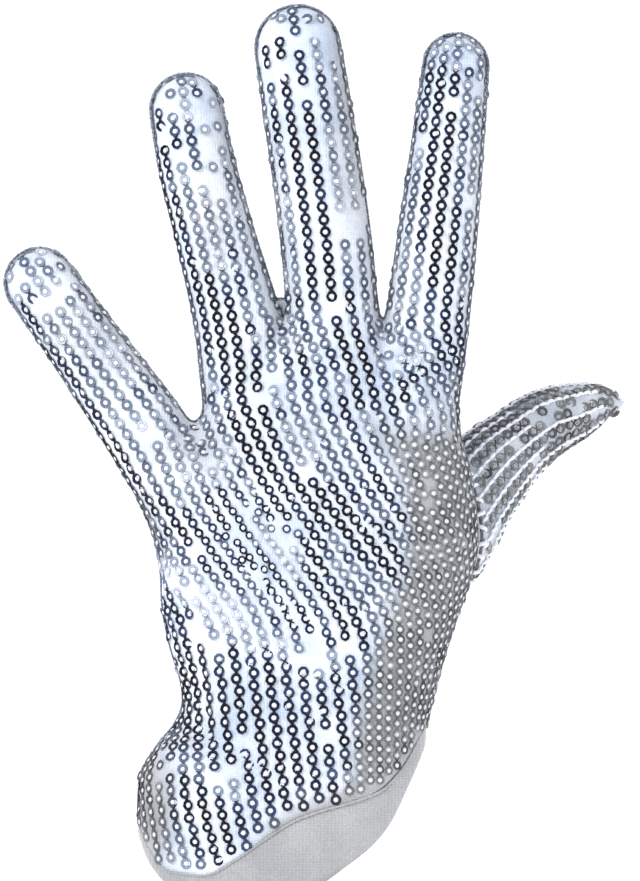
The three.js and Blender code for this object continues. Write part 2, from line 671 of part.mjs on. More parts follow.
// Half of the thumb's tube, closed at the pointed tip and open at its root
function thumbHalf(side) {
  const path = smoothPath(THUMB_STATIONS, THUMB_STEPS);
  const sheet = (wall) => {
    const points = [];
    path.forEach((_, i) => {
      const { deep } = thumbFrame(path, i);
      for (let column = 0; column <= THUMB_COLUMNS; column += 1) {
        const angle = side * Math.PI * (column / THUMB_COLUMNS);
        points.push(thumbPoint(path, i, angle, wall).addScaledVector(deep, (side * SEAM_GAP) / 2));
      }
    });
    const { along, deep } = thumbFrame(path, path.length - 1);
    const last = path[path.length - 1];
    const tip = new THREE.Vector3(last.x, last.y, last.z).addScaledVector(deep, (side * SEAM_GAP) / 2);
    points.push(tip.addScaledVector(along, wall > 0 ? TIP_HOLLOW_REACH : last.half));
    return points;
  };
  const width = THUMB_COLUMNS + 1;
  const faces = [];
  for (let row = 0; row < path.length - 1; row += 1) {
    for (let column = 0; column < THUMB_COLUMNS; column += 1) {
      const corner = row * width + column;
      faces.push([corner, corner + 1, corner + width + 1], [corner, corner + width + 1, corner + width]);
    }
  }
  const lastRow = (path.length - 1) * width;
  for (let column = 0; column < THUMB_COLUMNS; column += 1) {
    faces.push([lastRow + column, lastRow + column + 1, path.length * width]);
  }
  return solidBetween(sheet(0), sheet(CLOTH_WALL), facingOut(faces, -side));
}

// The filled hollow of the thumb's root, which opens the palm panel
function thumbHollow() {
  const path = smoothPath(THUMB_STATIONS, THUMB_STEPS).slice(0, THUMB_HOLLOW_STATIONS * THUMB_STEPS);
  const around = 2 * THUMB_COLUMNS;
  const positions = [];
  path.forEach((_, i) => {
    for (let column = 0; column < around; column += 1) {
      positions.push(...thumbPoint(path, i, (2 * Math.PI * column) / around, CLOTH_WALL).toArray());
    }
  });
  const first = path[0];
  const last = path[path.length - 1];
  positions.push(first.x, first.y, first.z, last.x, last.y, last.z);
  const startPole = path.length * around;
  const endPole = startPole + 1;
  const triangles = [];
  for (let column = 0; column < around; column += 1) {
    const next = (column + 1) % around;
    for (let row = 0; row < path.length - 1; row += 1) {
      const [a, b] = [row * around + column, row * around + next];
      triangles.push(a, b + around, b, a, a + around, b + around);
    }
    const lastRow = (path.length - 1) * around;
    triangles.push(startPole, column, next, endPole, lastRow + next, lastRow + column);
  }
  const geometry = new THREE.BufferGeometry();
  geometry.setAttribute('position', new THREE.Float32BufferAttribute(positions, 3));
  geometry.setIndex(triangles);
  return geometry;
}

const wasm = await Module();
wasm.setup();

function asSolid(geometry) {
  const merged = mergeVertices(geometry, 1e-4);
  const solid = new wasm.Manifold(new wasm.Mesh({
    numProp: 3,
    vertProperties: new Float32Array(merged.attributes.position.array),
    triVerts: new Uint32Array(merged.index.array),
  }));
  return solid;
}

function asGeometry(solid) {
  const mesh = solid.getMesh();
  const geometry = new THREE.BufferGeometry();
  geometry.setAttribute('position', new THREE.Float32BufferAttribute(mesh.vertProperties, 3));
  geometry.setIndex(Array.from(mesh.triVerts));
  return geometry;
}

const clothLook = { name: 'sequined_cloth', color: 0xb9c4d6, roughness: 0.6 };
const sequinedCloth = new THREE.MeshStandardMaterial(clothLook);
const bandKnit = new THREE.MeshStandardMaterial({ name: 'band_knit', color: 0xd4d8de, roughness: 0.9 });

const glove = new THREE.Group();
glove.name = 'sequin_glove';

function addPiece(name, geometry, material) {
  geometry.computeVertexNormals();
  const mesh = new THREE.Mesh(geometry, material);
  mesh.name = name;
  glove.add(mesh);
}

const clearance = asSolid(clearanceSolid());
const bodyBlock = asSolid(belowFingers(0));
const bodyAndGapBlock = asSolid(belowFingers(FINGER_ROOT_GAP));
const leftmost = (solid) => solid.boundingBox().min[0];

// One panel as its body and the halves of its four fingers, from the little finger to the index
function addPanel(sideName, panel) {
  addPiece(`${sideName}_panel`, asGeometry(panel.intersect(bodyBlock)), sequinedCloth);
  const halves = panel.subtract(bodyAndGapBlock).decompose().sort((a, b) => leftmost(a) - leftmost(b));
  halves.forEach((half, i) => addPiece(`${FINGERS[i].name}_${sideName}`, asGeometry(half), sequinedCloth));
}

addPanel('back', asSolid(panelShell(BACK)));
addPanel('palm', asSolid(panelShell(PALM)).subtract(asSolid(thumbHollow())));
addPiece('thumb_back', asGeometry(asSolid(thumbHalf(BACK)).subtract(clearance)), sequinedCloth);
addPiece('thumb_palm', asGeometry(asSolid(thumbHalf(PALM)).subtract(clearance)), sequinedCloth);
addPiece('cuff_band', bandRing(), bandKnit);

export default glove;
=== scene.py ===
"""Sequin glove: the finished look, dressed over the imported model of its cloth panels, thumb and band."""
import math

import bmesh
import bpy
import numpy as np
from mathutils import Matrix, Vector


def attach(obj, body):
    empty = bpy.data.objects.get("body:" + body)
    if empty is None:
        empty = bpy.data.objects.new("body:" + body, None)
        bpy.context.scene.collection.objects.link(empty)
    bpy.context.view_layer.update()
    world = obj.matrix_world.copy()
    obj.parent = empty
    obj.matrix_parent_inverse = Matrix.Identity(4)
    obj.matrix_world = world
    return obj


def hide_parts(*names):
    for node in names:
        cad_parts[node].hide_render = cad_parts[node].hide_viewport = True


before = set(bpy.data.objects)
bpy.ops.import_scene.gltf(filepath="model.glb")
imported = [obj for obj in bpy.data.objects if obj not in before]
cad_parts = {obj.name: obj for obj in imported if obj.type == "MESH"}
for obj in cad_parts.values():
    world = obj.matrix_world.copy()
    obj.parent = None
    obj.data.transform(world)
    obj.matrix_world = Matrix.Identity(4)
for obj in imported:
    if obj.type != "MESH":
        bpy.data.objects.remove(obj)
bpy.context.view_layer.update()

MM = 0.001
TINY = 1e-9
RANDOM = np.random.default_rng(27)

# Cloth and band: sizes in millimetres, and shares of a breadth or depth
CLOTH_WALL = 1.5
BAND_WALL = 2.0
BAND_SWELL = 0.35
BAND_SINK = 0.15
SEAM_GAP = 0.3
FINGER_FLATNESS = 0.86
THUMB_FLATNESS = 0.92
THINNEST_WIDTH = 0.3
THINNEST_DEPTH = 0.28
THUMB_TIP_WALL = 0.1
FINGER_JOIN_ROUNDING = 5
BODY_ROUNDING_SHARE = 0.97
BODY_TOP_STEEPNESS = 0.8
RELIEF_DEPTH = 12

# Sequins and thread: sizes in millimetres, and shares of a sequin's size for where its links start
SEQUIN_RADIUS = 1.55
SEQUIN_HOLE_RADIUS = 0.80
SEQUIN_SIDES = 8
SEQUIN_CUP = 0.34
SEQUIN_HALF_WAY_CUP = 0.187
SEQUIN_EDGE = 0.1
SEQUIN_SHEET = 0.14
SEQUIN_SEAT = 0.12
SEQUIN_PITCH = 3.45
SEQUIN_CLEARANCE = 2.75
SEQUIN_LEAN = 0.14
SEQUIN_SCATTER = 0.07
KNOT_RADIUS = 0.80
KNOT_RISE = 0.42
KNOT_DEPTH = 0.05
KNOT_SIDES = 6
LINK_RADIUS = 0.25
LINK_END_SHARE = 0.62
LINK_SIDE_SHARE = 0.5
LINK_RISE_SHARE = 0.7

# Seams, in millimetres
SEAM_RADIUS = 0.34
SEAM_LIFT = 0.15
SEAM_POINT_PITCH = 1.2
ROOT_SEAM_RADIUS = 0.6
ROOT_SEAM_CLEARANCE = 1.6
ROOT_SEAM_POINTS = 160
ROOT_POINT_PITCH = 0.8
THUMB_SEAM_CLEARANCE = 2.0
ROW_THREAD_CLEARANCE = 3.0
BAND_SEAM_RADIUS = 0.36
BAND_SEAM_SINK = 0.1
BAND_POINT_PITCH = 1.0
CORD_SIDES = 6
STITCH_SIDES = 5
STITCH_RINGS = 5

# Stitches: length, radius, pitch along the seam, slant in radians and lift off the cloth
SEAM_STITCHES = (1.5, 0.15, 1.9, 0.45, SEAM_RADIUS)
ROOT_STITCHES = (3.4, 0.62, 3.6, 0.35, ROOT_SEAM_RADIUS)
ROW_STITCHES = (2.8, 0.5, 2.5, math.pi / 2 - 0.06, 0.25)

# Steps of the thumb's path by which its side seams and the threads between its rows stop short of the tip
THUMB_SEAM_END = 1.0
LONG_ROW_END = 12
SHORT_ROW_END = 32

# How the glove's faces are found: steps and reaches in millimetres, and how often a span is halved
NORMAL_STEP = 0.05
WALK_STEP = 0.4
WALK_REACH = 60
WALK_HALVINGS = 10
FACE_REACH = 40.0
FACE_HALVINGS = 18
EDGE_TOLERANCE = 0.02
PATH_SEARCH_REACH = 26

# How places on the paths of fingers and thumb are found, counted in a path's steps
PATH_SEARCH_STEP = 0.02
THUMB_SEARCH_START = 4.0
THUMB_SEARCH_END = 44.0
THUMB_HALVINGS = 22
THUMB_HOLLOW_END = 40
THUMB_HOLLOW_RINGS = 30

# Rows and columns of the cloth's mesh, and how they crowd towards edges and tips
COLUMNS_A_FINGER = 20
FINGER_ROWS = 44
TIP_ROWS = 10
BODY_ROWS = 72
BAND_ROWS = 10
THUMB_COLUMNS = 24
THUMB_ROWS = 56
BODY_ROW_CROWDING = 1.3
FINGER_ROW_CROWDING = 1.35
TIP_FILL = 0.985
SIDE_PULL_POWER = 4

BACK = -1
PALM = 1

# Centre line and half width of each finger: x, y, z, half width
FINGERS = {
    "little": [(-16, 0, 74, 10.0), (-25, 0, 94, 11.0), (-35.5, 0, 112, 11.0), (-46, 0, 127, 10.2),
               (-56, 1, 141, 9.5), (-64.9, 3, 153.2, 9.3)],
    "ring": [(-7, 0, 100, 9.5), (-9.5, 0, 122, 11.0), (-11.7, 0, 143, 11.2), (-17.3, 0, 165, 10.3),
             (-22.3, 1.5, 184, 10.0), (-25.3, 3.5, 200.0, 9.6)],
    "middle": [(13, 0, 106, 9.5), (14.8, 0, 130, 11.5), (13.6, 0, 153, 11.9), (11, 0, 176, 11.8),
               (7.4, 0.5, 200, 11.6), (4.8, 2.5, 216.7, 11.3)],
    "index": [(34, 0, 98, 9.5), (37, 0, 118, 10.3), (39.2, 0, 137, 10.8), (42.2, 0, 163, 10.4),
              (45, 1, 188, 9.5), (47.5, 2.5, 211.8, 8.6)],
}

# Centre line and half width of the thumb, which reaches forward on the palm side
THUMB_STATIONS = [(24, -1, 60, 8.0), (33, 5, 72, 12.0), (43, 11, 83.5, 14.0), (50, 17, 93.5, 12.8),
                  (57.5, 23, 102.7, 11.6), (64.3, 28, 109, 10.0), (72.9, 34, 115.2, 9.1),
                  (81.5, 39.5, 118.6, 7.6), (88.1, 43, 120.8, 5.1), (93.8, 45.5, 121.2, 2.3)]

# Body at each height: z, left edge, right edge, half depth
BODY = [(-30, -37.0, 33.0, 22.5), (0, -38.0, 34.5, 23.0), (10, -38.2, 36.0, 23.0), (19, -37.8, 38.0, 22.4),
        (25, -35.2, 38.8, 21.6), (30, -31.6, 39.2, 21.0), (35, -27.6, 39.8, 20.2), (41, -26.0, 41.1, 19.2),
        (57, -30.0, 45.6, 16.6), (68, -31.8, 49.4, 15.2), (76, -32.0, 52.0, 14.5), (84, -32.5, 53.2, 14.0),
        (94, -34.6, 52.4, 13.5), (103, -37.6, 50.9, 13.2), (111, -39.0, 48.5, 12.9),
        (120, -40.0, 47.1, 12.6), (140, -40.0, 48.5, 12.0)]

# Top of the body behind the finger roots, and the band's two edges: x, z
BODY_TOP = [(-60, 96), (-38, 106), (-25, 112), (-8, 128), (2, 139), (15, 143), (27, 137), (40, 128),
            (60, 118)]
HEM = {
    BACK: [(-38.2, 4), (-34.8, -2.9), (-28.9, -8.0), (-13.5, -9.4), (3, -9.0), (10, -7.6), (17.6, -2.7),
           (25, 2.9), (29.7, 8.4), (35, 18.9), (38.8, 27)],
    PALM: [(-38.2, 4), (-25, 4), (0, 8), (22, 17), (38.8, 27)],
}
BAND_TOP = {
    BACK: [(-38.2, 7.4), (-34.8, 0.6), (-28.9, -4.4), (-20, -5.0), (-12, -1.0), (-4, 4.5), (4, 9.5),
           (12, 12.4), (19.4, 14.4), (27, 17.2), (33, 23), (38.8, 33)],
    PALM: [(-38.2, 7.4), (-30, 11), (-20, 15), (0, 21), (22, 29), (38.8, 33)],
}

# Rounded swellings and hollows of the two faces: side, x, z, reach in x, reach in z, lift
SWELLINGS = [
    (BACK, -29, 101, 7, 8, 1.4), (BACK, -8, 117, 7, 9, 1.6), (BACK, 14, 124, 8, 9, 2.2),
    (BACK, 36, 118, 7, 9, 1.6), (BACK, 12, 72, 22, 26, 2.2), (BACK, -24, 14, 12, 12, 2.4),
    (PALM, 30, 66, 14, 22, 5.0), (PALM, -18, 60, 11, 24, 3.0), (PALM, 6, 84, 11, 18, -2.6),
]

# Pulled folds: side, start x and z, end x and z, half breadth, lift
FOLDS = [
    (BACK, -18, 101, 15, 60, 3.6, 1.9), (BACK, -26, 96, 8, 56, 3.6, -1.2), (BACK, -30, 75, 17, 53, 4.2, 1.5),
    (BACK, -29, 66, 14, 46, 3.6, -1.0), (BACK, 4, 100, 44, 86, 3.4, 1.4), (BACK, 12, 91, 38, 72, 3.4, 1.2),
    (BACK, 8, 95, 41, 79, 3.0, -1.0), (BACK, -26, 60, -20, 34, 3.6, -1.8), (BACK, -27, 36, -6, 24, 4.4, -2.0),
    (BACK, 32, 133, 47, 128, 1.5, 0.8), (BACK, 33, 125, 46, 118, 1.5, 0.7),
    (BACK, -34, 118, -24, 105, 1.8, 0.8), (BACK, 2, 146, 4, 130, 1.8, -1.2),
    (BACK, 28, 145, 28, 130, 1.8, -1.2), (BACK, -22, 118, -19, 106, 1.8, -0.8),
    (PALM, -22, 96, 26, 103, 3.4, -1.0), (PALM, 14, 96, 12, 50, 3.8, -1.2),
]

# Start above each space between fingers and the way down into it: x, z, down x, down z
WEBS = [(-30, 136, 6.5, -18), (-3, 165, 5, -17), (27.5, 165, 0.6, -20)]
LITTLE_ROOT_HEIGHT = 104
INDEX_ROOT_HEIGHT = 142
MIDDLE_OF_BODY = 4

# Rows of sequins on each half of a finger and on each half of the thumb, and past each side of the body
FINGER_SEQUIN_ROWS = 7
THUMB_SEQUIN_ROWS = 9
SIDE_ROWS = 12

# How rows of sequins run, in millimetres. A row's start is scattered by a share of the pitch
ROW_SPACING = 4.4
ROW_SETTLING = 24
LOWEST_ROW_END = -9
ROW_WAVER = 0.3
ROW_WAVER_TURN = 2.0
BAND_CLEARANCE = 1.0
PHASE_SCATTER = 0.15
FIRST_SEQUIN = 0.6
LAST_SEQUIN = 0.4
SEAM_MARGIN = 0.4
CLEAR_OF_THUMB = 1.2
CLEAR_OF_BODY = 1.4
THUMB_ROW_START = 3.4
ROW_POINTS = 90
THUMB_ROW_POINTS = 80
ARC_STEP = 0.5
ARC_REACH = 110
ROW_TABLE_TOP = 150.0
ROW_TABLE_STEP = 1.5

# The line between the little finger's rows and the ring finger's, down each face of the body: z, x
ANCHOR_LINE = {
    BACK: [(-10, 20), (20, 16.3), (40, 13.8), (54, 12), (62, 9.8), (70, 5), (80, -2), (90, -9), (100, -15.5),
           (113, -22), (122, -25.5)],
    PALM: [(-10, -24), (60, -20), (100, -23), (122, -25.5)],
}

# Zones of the back where the cloth is bunched: x, z, reach x, reach z, then changes of sequin size and knot
# size. Half rows show between the whole ones where sequins are smaller by more than the last value
BUNCHED_ZONES = [
    (-8, 84, 17, 18, -0.25, 0.25), (8, 64, 10, 10, -0.16, 0.15), (27, 104, 9, 9, -0.14, 0.10),
    (-18, 6, 6, 11, -0.09, 0.05), (-34, 14, 6, 14, -0.09, 0.10),
]
HALF_ROWS_UNDER = -0.10

# The grey strip down the right edge of the back: its breadth, how softly it ends, the height of its top,
# its changes of sequin size, row spacing and knot size, and its share of grey, which is painted shade
STRIP_BREADTH = 19
STRIP_SOFTNESS = 9
STRIP_TOP = 112
STRIP_SEQUIN_CHANGE = -0.19
STRIP_SPACING_CHANGE = -0.38
STRIP_KNOT_CHANGE = 0.28
STRIP_GREY = 0.95
SMALLEST_SEQUIN = 0.72
LARGEST_KNOT = 1.5

# The painted shade in grey of the cloth along the band: its height, where it starts from the left and how
# softly
HEM_GREY_REACH = 7
HEM_GREY_START = -12
HEM_GREY_SOFTNESS = 14

# Painted highlight and shade of the back: x, z, reach x, reach z, change of shade from navy to steel, change
# of the share of grey. Paler sequins are painted highlight and more grey is painted shade
TONE_ZONES = [
    (-34, 12, 8, 15, 0.00, 0.8), (-2, 33, 29, 27, -0.52, 0.0), (-8, 84, 14, 14, -0.12, 0.1),
    (-22, 108, 12, 8, 0.10, 0.3), (6, 110, 8, 8, 0.15, 0.2), (30, 112, 10, 8, 0.00, 0.4),
    (-36, 92, 10, 8, 0.00, 0.3), (17, 186, 5, 30, 0.12, 0.3), (-18, 170, 5, 26, 0.15, 0.3),
    (-56, 134, 16, 18, 0.06, 0.3),
]

# Runs of darker or paler sequins on the back, where painted highlight is taken off or added: start x and z,
# end x and z, half breadth, change of shade
TONE_STROKES = [
    (-34, 201, -31, 170, 4.0, -0.50), (-31, 172, -17, 146, 3.4, -0.40), (-18, 150, -3, 108, 5.0, -0.58),
    (0, 214, 6, 188, 6.5, -0.46), (7, 190, 12, 152, 3.4, -0.58), (13, 156, 23, 124, 5.2, -0.58),
    (43.5, 206, 43, 160, 4.6, -0.58), (42, 164, 46, 134, 3.6, -0.50), (36, 128, 31, 118, 3.4, -0.40),
    (-69, 146, -62, 132, 3.4, -0.46), (-56, 130, -44, 104, 3.6, -0.36), (-46, 108, -38, 98, 4.4, -0.50),
    (-32, 92, -26, 88, 3.6, -0.50), (-10, 116, 2, 90, 3.6, -0.55), (4, 99, 15, 92, 4.0, -0.64),
    (13, 93, 30, 79, 4.8, -0.64), (8, 86, 10, 72, 2.6, -0.60), (-16, 94, 6, 60, 3.8, -0.50),
    (-24, 86, -14, 76, 3.0, -0.40), (17, 118, 32, 90, 3.2, -0.36), (11, 73, 20, 56, 4.2, -0.46),
    (-30, 68, -24, 44, 4.0, -0.42), (-22, 12, -14, 0, 6.0, -0.50), (-30, 74, -14, 64, 5.0, 0.34),
    (-16, 63, 12, 51, 4.6, 0.42), (-23, 25, -12, 17, 3.6, 0.42), (-5, 82, 6, 76, 3.4, 0.25),
]
# How sharp zones and strokes are and how much grey a darker run clears; painted shade in grey where the
# surface turns aside, more towards the thumb; the plain shade, pale with painted highlight; and the sequins'
# own random tone, slow, quick and single
ZONE_SHARPNESS = 1.5
STROKE_CLEARING = 0.3
SIDE_GREY = 0.5
THUMB_SIDE_GREY = 0.4
PLAIN_SHADE = 0.66
NOISE_WAVES = 6
SLOW_SHADE = 0.07
QUICK_SHADE = 0.10
SINGLE_SHADE = 0.11
# The thumb's look, the same all over: shade and share of grey of its sequins, which is painted shade, sizes
# of sequins and knots, and the grey of its cloth, also painted shade
THUMB_SHADE = 0.70
THUMB_GREY = 1.0
THUMB_SEQUIN_SIZE = 1.02
THUMB_KNOT = 1.1
THUMB_CLOTH_GREY = 0.5

# Places where sequins have come off: x, z, reach, share lost
BARE_PATCHES = [
    (-64.9, 153, 13, 0.25), (-25.3, 200, 15, 0.35), (-16, 178, 6, 0.4), (-23, 180, 5, 0.5),
    (4.8, 217, 12, 0.25), (47.5, 212, 12, 0.25), (20, 170, 6, 0.3), (-18, 61, 6, 0.25),
    (-28, 70, 5, 0.3), (8, 53, 5, 0.45),
    (1, 84, 5, 0.4), (12, 101, 5, 0.3), (-16, 20, 5, 0.35), (-13, 136, 4, 0.25), (-24, 118, 5, 0.3),
]
BARE_PATCH_DEPTH = 5
LOST_SHARE = 0.02
THUMB_LOST_SHARE = 0.08


def curve_through(rows, across, up):
    """Smooth curve through a table's columns that never swings past its rows."""
    x = np.array([row[across] for row in rows], float)
    y = np.array([row[up] for row in rows], float)
    width = np.diff(x)
    rise = np.diff(y) / width
    slope = np.zeros(len(x))
    slope[0], slope[-1] = rise[0], rise[-1]
    for i in range(1, len(x) - 1):
        if rise[i - 1] * rise[i] > 0:
            before = 2 * width[i] + width[i - 1]
            after = width[i] + 2 * width[i - 1]
            slope[i] = (before + after) / (before / rise[i - 1] + after / rise[i])

    def at(value):
        value = np.clip(value, x[0], x[-1])
        i = np.clip(np.searchsorted(x, value, side="right") - 1, 0, len(width) - 1)
        s = (value - x[i]) / width[i]
        start = y[i] * (1 + 2 * s) * (1 - s) ** 2 + slope[i] * width[i] * s * (1 - s) ** 2
        end = y[i + 1] * s * s * (3 - 2 * s) + slope[i + 1] * width[i] * s * s * (s - 1)
        return start + end

    return at


def smooth_path(stations, steps):
    """Smooth line through stations, with evenly shared steps between each pair."""
    given = np.array(stations, float)
    points = np.vstack([2 * given[0] - given[1], given, 2 * given[-1] - given[-2]])
    path = []
    for i in range(1, len(points) - 2):
        a, b, c, d = points[i - 1:i + 3]
        for k in range(steps):
            t = k / steps
            bend = (2 * a - 5 * b + 4 * c - d) * t * t + (3 * b - a - 3 * c + d) * t ** 3
            path.append(0.5 * (2 * b + (c - a) * t + bend))
    path.append(given[-1])
    return np.array(path)


def unit(vectors):
    """Vectors brought to a length of one."""
    return vectors / np.maximum(np.linalg.norm(vectors, axis=-1, keepdims=True), TINY)


def off_line(x, z, x0, z0, x1, z1):
    """How far places lie aside from a line of the front view, and how far past its nearer end."""
    length = math.hypot(x1 - x0, z1 - z0)
    along = ((x - x0) * (x1 - x0) + (z - z0) * (z1 - z0)) / length
    aside = ((x - x0) * (z1 - z0) - (z - z0) * (x1 - x0)) / length
    return aside, np.maximum(np.maximum(-along, along - length), 0)


def halved(near, far, is_near, times):
    """Narrows the spans between near and far, half by half, to where a test of places changes."""
    for _ in range(times):
        middle = (near + far) / 2
        holds = is_near(middle)
        near = np.where(holds, middle, near)
        far = np.where(holds, far, middle)
    return near, far


def tube_field(points, path, flatness):
    """Distance of points to a flattened tube round a path, below zero inside."""
    nearest = np.full(len(points), np.inf)
    stretch = np.array([1, 1 / flatness, 1])
    for a, b in zip(path[:-1], path[1:]):
        along = (b - a)[:3]
        share = np.clip((points - a[:3]) @ along / (along @ along), 0, 1)
        away = (points - a[:3] - share[:, None] * along) * stretch
        distance = np.sqrt((away ** 2).sum(axis=1)) - (a[3] + share * (b[3] - a[3]))
        nearest = np.minimum(nearest, distance)
    return nearest * math.sqrt(flatness)


body_left = curve_through(BODY, 0, 1)
body_right = curve_through(BODY, 0, 2)
body_half = curve_through(BODY, 0, 3)
body_top = curve_through(BODY_TOP, 0, 1)
FINGER_PATHS = [smooth_path(stations, 4) for stations in FINGERS.values()]
THUMB_PATH = smooth_path(THUMB_STATIONS, 8)


def body_field(points):
    """The body is a rounded box whose edges and depth change with height."""
    x, y, z = points.T
    left, right, half_depth = body_left(z), body_right(z), body_half(z)
    half_width = (right - left) / 2
    rounding = np.minimum(half_depth, half_width) * BODY_ROUNDING_SHARE
    over = np.stack([
        np.abs(x - (left + right) / 2) - (half_width - rounding),
        np.abs(y) - (half_depth - rounding),
        (z - body_top(x)) * BODY_TOP_STEEPNESS + rounding,
    ])
    outside = np.sqrt((np.maximum(over, 0) ** 2).sum(axis=0))
    return outside + np.minimum(over.max(axis=0), 0) - rounding


def relief(points):
    """Swellings and folds of the two faces, which leave the side seams where they are."""
    x, y, z = points.T
    total = np.zeros(len(points))
    for side, at_x, at_z, reach_x, reach_z, lift in SWELLINGS:
        away = ((x - at_x) / reach_x) ** 2 + ((z - at_z) / reach_z) ** 2
        total += np.where(np.sign(y) == side, lift * np.exp(-away), 0)
    for side, *ends, breadth, lift in FOLDS:
        aside, past = off_line(x, z, *ends)
        height = lift * np.exp(-(aside / breadth) ** 2 - (past / (2 * breadth)) ** 2)
        total += np.where(np.sign(y) == side, height, 0)
    return total * np.minimum(np.abs(y) / RELIEF_DEPTH, 1) ** 2


def glove_field(points):
    """Distance to the glove's outer face without its thumb, below zero inside."""
    distance = body_field(points)
    for path in FINGER_PATHS:
        tube = tube_field(points, path, FINGER_FLATNESS)
        share = np.clip(0.5 + 0.5 * (tube - distance) / FINGER_JOIN_ROUNDING, 0, 1)
        distance = tube * (1 - share) + distance * share - FINGER_JOIN_ROUNDING * share * (1 - share)
    return distance - relief(points)


def thumb_field(points):
    """Distance to the thumb's outer face, below zero inside."""
    return tube_field(points, THUMB_PATH, THUMB_FLATNESS)


def normals_of(field, points):
    """Outward unit normals of a field at points."""
    steps = NORMAL_STEP * np.eye(3)
    return unit(np.stack([field(points + step) - field(points - step) for step in steps], axis=1))


def surface_along(starts, directions):
    """Walks from each start until it crosses the glove's face, and returns the crossings."""
    starts = np.atleast_2d(np.array(starts, float))
    directions = unit(np.atleast_2d(np.array(directions, float)))
    inside_first = glove_field(starts) < 0
    far = np.full(len(starts), float(WALK_REACH))
    walking = np.ones(len(starts), bool)
    for distance in np.arange(WALK_STEP, WALK_REACH, WALK_STEP):
        index = np.flatnonzero(walking)
        if not len(index):
            break
        here = glove_field(starts[index] + directions[index] * distance) < 0
        crossed = index[here != inside_first[index]]
        far[crossed] = distance
        walking[crossed] = False

    def is_before(distance):
        return (glove_field(starts + directions * distance[:, None]) < 0) == inside_first

    near, far = halved(far - WALK_STEP, far, is_before, WALK_HALVINGS)
    return starts + directions * ((near + far) / 2)[:, None]


def on_face(points, side):
    """Brings points of the flat layout out to one face of the glove, never past its side seam."""
    seam = points[:, 1] + side * SEAM_GAP / 2
    start = np.stack([points[:, 0], seam, points[:, 2]], axis=1)
    on_edge = glove_field(start) > -EDGE_TOLERANCE

    def is_inside(distance):
        return glove_field(start + np.array([0, side, 0]) * distance[:, None]) < 0

    near, _ = halved(np.zeros(len(points)), np.full(len(points), FACE_REACH), is_inside, FACE_HALVINGS)
    start[:, 1] += np.where(on_edge, 0, side * near)
    return start


def round_share(i, count):
    """Shares of a breadth that crowd towards both its ends, as even steps round a curve do."""
    return (1 - np.cos(np.pi * np.asarray(i) / count)) / 2


def path_at(path, at):
    """Points on a path, and its direction there, at shares counted in its steps."""
    at = np.clip(np.atleast_1d(at), 0, len(path) - 1 - 1e-6)
    i = at.astype(int)
    t = (at - i)[:, None]
    return path[i] * (1 - t) + path[i + 1] * t, (path[i + 1] - path[i])[:, :3]


def beside_path(path, point):
    """Place on the path that lies beside a point."""
    at = np.arange(0, len(path) - 1, PATH_SEARCH_STEP)
    centre, along = path_at(path, at)
    off = np.abs((point[0] - centre[:, 0]) * along[:, 0] + (point[2] - centre[:, 2]) * along[:, 2])
    far = np.hypot(point[0] - centre[:, 0], point[2] - centre[:, 2]) > PATH_SEARCH_REACH
    return at[np.argmin(np.where(far, np.inf, off))]


def side_of_body(heights, hand):
    """Points of the body's left or right edge at heights."""
    heights = np.atleast_1d(heights)
    starts = np.stack([np.full(len(heights), float(MIDDLE_OF_BODY)), np.zeros(len(heights)), heights], axis=1)
    return surface_along(starts, np.tile([hand, 0, 0], (len(heights), 1)))


EDGE_HEIGHTS = np.arange(-20.0, 150.0, 1.0)
SIDE_EDGES = {hand: side_of_body(EDGE_HEIGHTS, hand)[:, 0] for hand in (-1, 1)}


def finger_rows(path, left_root, right_root):
    """Left and right ends of each row of a finger from its root to its tip, and the tip's last point."""
    last = len(path) - 1
    shares = (np.arange(1, FINGER_ROWS - TIP_ROWS) / (FINGER_ROWS - TIP_ROWS)) ** FINGER_ROW_CROWDING
    tip, tip_along = (value[0] for value in path_at(path, last))
    tip_along = unit(tip_along * np.array([1, 0, 1]))
    ends = []
    for hand, root in ((-1, left_root), (1, right_root)):
        start = beside_path(path, root)
        centre, along = path_at(path, start + (last - start) * shares)
        sideways = np.stack([hand * along[:, 2], 0 * along[:, 1], -hand * along[:, 0]], axis=1)
        lower = surface_along(centre[:, :3], sideways)
        forward = np.sin(np.pi / 2 * np.arange(TIP_ROWS) / TIP_ROWS) * tip[3] * TIP_FILL
        centre = tip[:3] + forward[:, None] * tip_along
        sideways = np.tile([hand * tip_along[2], 0, -hand * tip_along[0]], (TIP_ROWS, 1))
        ends.append(np.vstack([root, lower, surface_along(centre, sideways)]))
    pole = surface_along(tip[:3], tip_along)[0]
    return ends[0], ends[1], pole


ROOTS = np.vstack([
    side_of_body(LITTLE_ROOT_HEIGHT, -1),
    surface_along([(x, 0, z) for x, z, _, _ in WEBS], [(dx, 0, dz) for _, _, dx, dz in WEBS]),
    side_of_body(INDEX_ROOT_HEIGHT, 1),
])
FINGER_ENDS = [finger_rows(path, ROOTS[i], ROOTS[i + 1]) for i, path in enumerate(FINGER_PATHS)]


